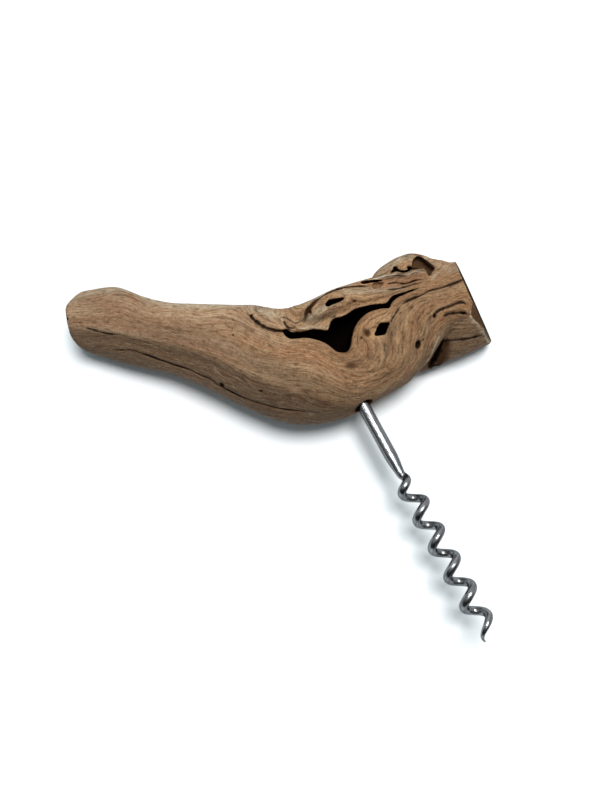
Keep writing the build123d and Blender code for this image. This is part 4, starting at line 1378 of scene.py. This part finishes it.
def setWoodValues(handle):
    # What the wood's material reads at each vertex
    p = readVectors(handle.data, "co").astype(float) / millimetre
    normals = readVectors(handle.data, "normal")
    a, b = p @ rightWay, p @ upWay
    plan = readPlan(p[:, 0], p[:, 1])
    middle = plan["rise"] + plan["halfHeight"] + tableHeight
    facing = upperSide(p[:, 2], middle, plan["across"])
    read = {name: sheet.read(values, a, b) for name, values in drawn.items()}
    sawn = np.zeros(len(p))
    for name in sawnCuts:
        sawn = np.maximum(sawn, cutShare(p, normals, cutFaces[name], 0.8, 0.15, 1.0))
    chipped = cutShare(p, normals, cutFaces["fresh"], 0.9, 0.08, 0.5)
    setValues(handle, "along", plan["place"])
    setValues(handle, "across", read["across"])
    setValues(handle, "around", np.arctan2(p[:, 2] - middle, plan["across"]) * girthRadius)
    setValues(handle, "facing", facing)
    setValues(handle, "crack", read["crack"])
    # dark: painted shade in the hollows, the bore and the dark strokes, with the knots' own darkness
    setValues(handle, "dark", np.maximum(hollowShade(p, a, b), read["dark"] * facing))
    setValues(handle, "sawn", sawn)
    # painted shade and painted light of the shade strokes, on the upper side
    setValues(handle, "shade", read["shade"] * facing)
    setValues(handle, "pale", np.maximum(read["pale"] * facing, chipped))
    setValues(handle, "red", read["red"] * facing)
    setValues(handle, "greyAndShade", easeStep(0.5 - read["greyAndShade"] / 3.0))


woodLook = {
    "light": paint(161, 132, 103),
    "middle": paint(136, 105, 77),
    "line": paint(90, 58, 36),
    "red": paint(150, 105, 76),
    "pale": paint(170, 154, 128),
    "paleCrestAndHighlight": paint(228, 212, 196),
    "greyAndShade": paint(91, 71, 52),
    "crack": paint(34, 21, 13),
    "knotAndShadeBrown": paint(62, 42, 27),
    "hollow": paint(7, 4, 3),
    "sawn": paint(38, 29, 23),
    "warmth": (1.05, 0.945, 0.80, 1),  # of the belly and the wide end, against the limb
    "warmFrom": (55, 115),  # place along the trunk where the warmth begins and is full
    "mottle": 0.85,  # how much the finest marks lighten and darken the wood
    "livelier": 1.45,  # the same on the belly and the wide end, against the limb
    "livelyFrom": (60, 120),
    "roughness": 0.8,
    "bump": 0.0006,
    # each streak's scale across the grain and along it, detail, roughness and distortion
    "streaks": {
        "broad": (0.22, 0.014, 3, 0.55, 0.0),
        "lines": (0.85, 0.035, 4, 0.62, 0.1),
        "fibre": (2.3, 0.09, 3, 0.6, 0.0),
        "hair": (3.4, 0.26, 2, 0.6, 0.0),
        "ticks": (1.6, 0.40, 3, 0.6, 0.3),
    },
    # paint put on by a streak: the two ends of the step in its noise, the paint's share at each
    "layers": [
        ("lines", 0.30, 0.45, 0.70, 0.0, "line"),
        ("fibre", 0.32, 0.48, 0.45, 0.0, "line"),
        ("ticks", 0.30, 0.46, 0.65, 0.0, "line"),
        ("hair", 0.32, 0.50, 0.50, 0.0, "line"),
        ("hair", 0.54, 0.72, 0.0, 0.35, "pale"),
        ("fibre", 0.55, 0.75, 0.0, 0.30, "pale"),
    ],
    "patchScale": 90,
    "speckScale": 1500,
}


def woodColour(tree, value, streaks, patch, mottle):
    # Two browns by the broad streaks, then each paint over the last, and the hollows last of all
    look = woodLook
    colour = mixColour(tree, rangeOf(tree, streaks["broad"], 0.38, 0.62), look["middle"], look["light"])
    warm = rangeOf(tree, value["along"], *look["warmFrom"])
    colour = mixColour(tree, warm, colour, look["warmth"], "MULTIPLY")
    red = maths(tree, "MULTIPLY", value["red"], 0.8)
    red = maths(tree, "ADD", red, rangeOf(tree, patch, 0.56, 0.72, 0, 0.35), True)
    colour = mixColour(tree, red, colour, look["red"])
    # the lower side's grey: weathered grey with painted shade
    colour = mixColour(tree, maths(tree, "MULTIPLY", value["greyAndShade"], 0.85), colour, look["greyAndShade"])
    # pale strokes, partly painted highlight, and freshly chipped wood
    broken = rangeOf(tree, streaks["ticks"], 0.35, 0.55, 0.35, 0.85)
    pale = maths(tree, "MULTIPLY", value["pale"], broken, True)
    colour = mixColour(tree, pale, colour, look["pale"])
    for name, low, high, atLow, atHigh, layer in look["layers"]:
        share = rangeOf(tree, streaks[name], low, high, atLow, atHigh)
        colour = mixColour(tree, share, colour, look[layer])
    swing = rangeOf(tree, mottle, 0.3, 0.7, -look["mottle"] / 2, look["mottle"] / 2, False)
    livelier = rangeOf(tree, value["along"], *look["livelyFrom"], 1, look["livelier"])
    tone = maths(tree, "ADD", maths(tree, "MULTIPLY", swing, livelier), 1.0)
    # the shade strokes darken as painted shade, and lighten as painted light below nought
    tone = maths(tree, "MULTIPLY", tone, maths(tree, "SUBTRACT", 1.0, value["shade"]))
    colour = scaleColour(tree, colour, tone)
    # near-white where the pale strokes pass 1: pale ridges, lips and rims with a painted highlight
    colour = mixColour(tree, rangeOf(tree, value["pale"], 1.05, 1.8, 0, 0.95), colour, look["paleCrestAndHighlight"])
    # cracks and the crease under the overhang painted near-black on the upper side: painted shade in their
    # depth
    crack = rangeOf(tree, maths(tree, "ABSOLUTE", value["crack"]), 0.25, 0.95, 0.92, 0)
    colour = mixColour(tree, maths(tree, "MULTIPLY", crack, value["facing"]), colour, look["crack"])
    # brown to near-black by the dark value: painted shade in hollows, creases and the bore, and the knots'
    # own dark colour
    colour = mixColour(tree, rangeOf(tree, value["dark"], 0.0, 0.45), colour, look["knotAndShadeBrown"])
    colour = mixColour(tree, rangeOf(tree, value["dark"], 0.35, 1.0), colour, look["hollow"])
    # sawn ends: dark end grain, darkened further as painted shade
    return mixColour(tree, maths(tree, "MULTIPLY", value["sawn"], 0.9), colour, look["sawn"])


def woodMaterial():
    look = woodLook
    material, tree, shader = newMaterial("weathered_vine_wood")
    names = ("along", "across", "around", "facing", "crack", "dark", "sawn", "shade", "pale", "red", "greyAndShade")
    value = {name: readValue(tree, name) for name in names}
    place = tree.nodes.new("ShaderNodeTexCoord").outputs["Object"]

    def streak(acrossScale, alongScale, detail, roughness, distortion):
        # noise drawn out along the grain, round the hidden side and on the upper side's own flow
        sides = []
        for source, shift in ((value["around"], 40.0), (value["across"], 0.0)):
            run = maths(tree, "MULTIPLY", value["along"], alongScale)
            point = joinVector(tree, run, maths(tree, "MULTIPLY", source, acrossScale), shift)
            sides.append(noiseOf(tree, point, 1.0, detail, roughness, distortion))
        return mixValue(tree, value["facing"], *sides)

    streaks = {name: streak(*scales) for name, scales in look["streaks"].items()}
    patch = noiseOf(tree, place, look["patchScale"], 3, 0.55)
    speck = noiseOf(tree, place, look["speckScale"], 3, 0.65)
    ticks = maths(tree, "MULTIPLY", streaks["ticks"], 0.45)
    mottle = maths(tree, "ADD", maths(tree, "MULTIPLY", speck, 0.55), ticks)
    tree.links.new(woodColour(tree, value, streaks, patch, mottle), shader.inputs["Base Color"])
    shader.inputs["Roughness"].default_value = look["roughness"]
    dull = maths(tree, "MAXIMUM", value["dark"], maths(tree, "MULTIPLY", value["sawn"], 0.9))
    tree.links.new(rangeOf(tree, dull, 0.0, 0.5, 0.2, 0.0), shader.inputs["Specular IOR Level"])
    fibre = maths(tree, "MULTIPLY", streaks["fibre"], 0.5)
    height = maths(tree, "ADD", maths(tree, "MULTIPLY", streaks["lines"], 0.9), fibre)
    height = maths(tree, "ADD", height, maths(tree, "MULTIPLY", mottle, 0.9))
    tree.links.new(bumpOf(tree, height, 1.0, look["bump"]), shader.inputs["Normal"])
    return material


handle = makeHandle()
handle.data.materials.append(woodMaterial())
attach(handle, "root")
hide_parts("handle")
print("handle made")

# The screw

screwSize = {
    "shankRadius": 2.3,
    "shankLength": 20.0,
    "neckLength": 9.5,  # along which the rod is drawn down to wire
    "neckStraight": 7.2,  # first part of the neck, which is still on the screw's axis
    "wireRadius": 1.45,
    "coilRadius": 2.95,
    "coilPitch": 10.4,
    "coilTurns": 4.4,
    "coilPhase": 180.0,
    "runInTurn": 230.0,  # degrees over which the wire swings out to the coil
    "pointRadius": 0.25,
    "pointTurn": 245.0,
    "pointDraw": 1.2,
    "pointCurl": 0.25,
    "pointTaper": 1.6,
    "tailLength": 15.0,  # inside the wood
    "grooveDepth": 0.35,
    "grooveWidth": 1.2,
    "grooveSpacing": 3.0,
    "firstGroove": 2.25,  # from the buried end
    "plainTail": 1.5,  # from the last groove's end to the wood's face
    "pathStep": 0.3,
    "turnStep": 3.0,
    "sides": 40,
}


def wirePlace(angle):
    # Middle of the wire at degrees past the start of the full coil: the radius swings out as
    # s^2 (3 - 2s) over the run-in, and curls in by a share of p^2 over the point
    size = screwSize
    swing = np.clip(1 + angle / size["runInTurn"], 0, 1)
    past = np.maximum(angle - 360 * size["coilTurns"], 0) / size["pointTurn"]
    radius = size["coilRadius"] * swing**2 * (3 - 2 * swing) * (1 - size["pointCurl"] * past**2)
    start = size["shankLength"] + size["neckStraight"] + size["coilPitch"] * size["runInTurn"] / 360
    height = start + size["coilPitch"] * angle / 360 + size["pointDraw"] * past**2
    turned = np.radians(angle + size["coilPhase"])
    return np.stack([radius * np.cos(turned), radius * np.sin(turned), height], 1)


def wireRadius(height, past):
    # From shank to wire as s^2 (3 - 2s) over the neck, thinner by p^taper over the point, and less
    # by the grooves' depth in the buried end
    size = screwSize
    share = easeStep((height - size["shankLength"]) / size["neckLength"])
    radius = size["shankRadius"] - (size["shankRadius"] - size["wireRadius"]) * share
    point = size["wireRadius"] + (size["pointRadius"] - size["wireRadius"]) * past ** size["pointTaper"]
    radius = np.where(past > 0, point, radius)
    fromGroove = np.abs((height + size["tailLength"]) % size["grooveSpacing"] - size["firstGroove"])
    inGroove = (fromGroove < size["grooveWidth"] / 2) & (height < -size["plainTail"])
    return np.where(inGroove, radius - size["grooveDepth"], radius)


def closeEnds(mesh, sides, count):
    # One face over the first ring and one over the last
    bm = bmesh.new()
    bm.from_mesh(mesh)
    bm.verts.ensure_lookup_table()
    bmesh.ops.contextual_create(bm, geom=[bm.verts[n] for n in range(sides)][::-1])
    bmesh.ops.contextual_create(bm, geom=[bm.verts[n] for n in range(count - sides, count)])
    bmesh.ops.recalc_face_normals(bm, faces=bm.faces)
    bm.to_mesh(mesh)
    bm.free()
    smoothAll(mesh)


def makeScrew():
    # A round profile carried along the shank's axis and then along the coil, worked out upright and
    # then laid along -Y
    size, sides = screwSize, screwSize["sides"]
    straight = np.arange(-size["tailLength"], size["shankLength"] + size["neckStraight"], size["pathStep"])
    lastTurn = 360 * size["coilTurns"] + size["pointTurn"]
    angle = np.arange(-size["runInTurn"], lastTurn + 1e-6, size["turnStep"])
    axis = np.stack([straight * 0, straight * 0, straight], 1)
    path = np.vstack([axis, wirePlace(angle)])
    ahead = wirePlace(angle + 0.01) - wirePlace(angle - 0.01)
    ahead[0] = (0, 0, 1)
    along = np.vstack([np.tile([0.0, 0, 1], (len(axis), 1)), ahead])
    along /= np.linalg.norm(along, axis=1)[:, None]
    turned = np.radians(np.concatenate([np.full(len(axis), angle[0]), angle]) + size["coilPhase"])
    outward = np.stack([np.cos(turned), np.sin(turned), turned * 0], 1)
    outward -= along * (outward * along).sum(1)[:, None]
    outward /= np.linalg.norm(outward, axis=1)[:, None]
    sideways = np.cross(along, outward)
    past = (np.concatenate([straight * 0, angle]) - 360 * size["coilTurns"]) / size["pointTurn"]
    radius = wireRadius(path[:, 2], np.clip(past, 0, 1))
    # round off the point, and draw both ends in to a fiftieth
    steps = np.radians([25, 50, 72, 90])
    tip = path[-1] + along[-1] * size["pointRadius"] * np.sin(steps)[:, None]
    path = np.vstack([path[0] - (0, 0, 0.01), path, tip])
    tipRadius = size["pointRadius"] * np.maximum(np.cos(steps), 0.02)
    radius = np.concatenate([[radius[0] * 0.02], radius, tipRadius])[:, None, None]
    outward = np.vstack([outward[0], outward, np.tile(outward[-1], (4, 1))])[:, None, :]
    sideways = np.vstack([sideways[0], sideways, np.tile(sideways[-1], (4, 1))])[:, None, :]
    rim = np.linspace(0, 2 * np.pi, sides, endpoint=False)
    profile = outward * np.cos(rim)[None, :, None] + sideways * np.sin(rim)[None, :, None]
    upright = (path[:, None, :] + radius * profile).reshape(-1, 3)
    points = np.stack([upright[:, 0], -upright[:, 2], upright[:, 1]], 1)
    i, j = np.meshgrid(np.arange(len(path) - 1) * sides, np.arange(sides), indexing="ij")
    k = (j + 1) % sides
    quads = np.stack([i + j, i + k, i + sides + k, i + sides + j], -1).reshape(-1, 4)
    screw = meshObject("steel_screw", points * millimetre, quads)
    closeEnds(screw.data, sides, len(points))
    run = np.concatenate([[0], np.cumsum(np.linalg.norm(np.diff(path, axis=0), axis=1))])
    setValues(screw, "run", np.repeat(run, sides))
    setValues(screw, "outward", np.tile(np.cos(rim), len(path)))
    setValues(screw, "sideways", np.tile(np.sin(rim), len(path)))
    return screw


steelLook = {
    "bright": paint(150, 152, 154),
    "dull": paint(96, 98, 100),
    "edge": (0.25, 0.26, 0.27, 1),
    "marks": (0.06, 6.0, 4),  # scale along the wire and round it, and detail
    "scratches": (0.25, 22.0, 3),
    "roughness": (0.12, 0.24),
    "bump": 0.00006,
}


def steelMaterial():
    look = steelLook
    material, tree, shader = newMaterial("drawn_steel")
    run, outward, sideways = [readValue(tree, name) for name in ("run", "outward", "sideways")]

    def drawing(runScale, roundScale, detail):
        # noise drawn out along the wire
        alongWire = maths(tree, "MULTIPLY", run, runScale)
        around = [maths(tree, "MULTIPLY", way, roundScale) for way in (outward, sideways)]
        return noiseOf(tree, joinVector(tree, alongWire, *around), 1.0, detail, 0.6)

    marks, scratches = drawing(*look["marks"]), drawing(*look["scratches"])
    colour = mixColour(tree, rangeOf(tree, marks, 0.35, 0.62), look["dull"], look["bright"])
    tree.links.new(colour, shader.inputs["Base Color"])
    shader.inputs["Metallic"].default_value = 1
    shader.inputs["Specular Tint"].default_value = look["edge"]
    tree.links.new(rangeOf(tree, scratches, 0.3, 0.7, *look["roughness"]), shader.inputs["Roughness"])
    bump = bumpOf(tree, maths(tree, "ADD", marks, scratches), 0.6, look["bump"])
    tree.links.new(bump, shader.inputs["Normal"])
    return material


resinLook = {
    "colour": paint(30, 22, 17),
    "clear": paint(58, 40, 28),
    "cloudScale": 700,
    "roughness": (0.35, 0.6),
    "bump": 0.0001,
}


def resinMaterial():
    look = resinLook
    material, tree, shader = newMaterial("dark_resin")
    cloud = noiseOf(tree, tree.nodes.new("ShaderNodeTexCoord").outputs["Object"], look["cloudScale"], 3, 0.5)
    colour = mixColour(tree, rangeOf(tree, cloud, 0.35, 0.7), look["colour"], look["clear"])
    tree.links.new(colour, shader.inputs["Base Color"])
    tree.links.new(rangeOf(tree, cloud, 0.3, 0.7, *look["roughness"]), shader.inputs["Roughness"])
    tree.links.new(bumpOf(tree, cloud, 0.5, look["bump"]), shader.inputs["Normal"])
    return material


screw = makeScrew()
screw.data.materials.append(steelMaterial())
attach(screw, "root")
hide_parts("screw")
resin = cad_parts["resin_bed"]
resin.data.materials.clear()
resin.data.materials.append(resinMaterial())
print("screw and resin made")
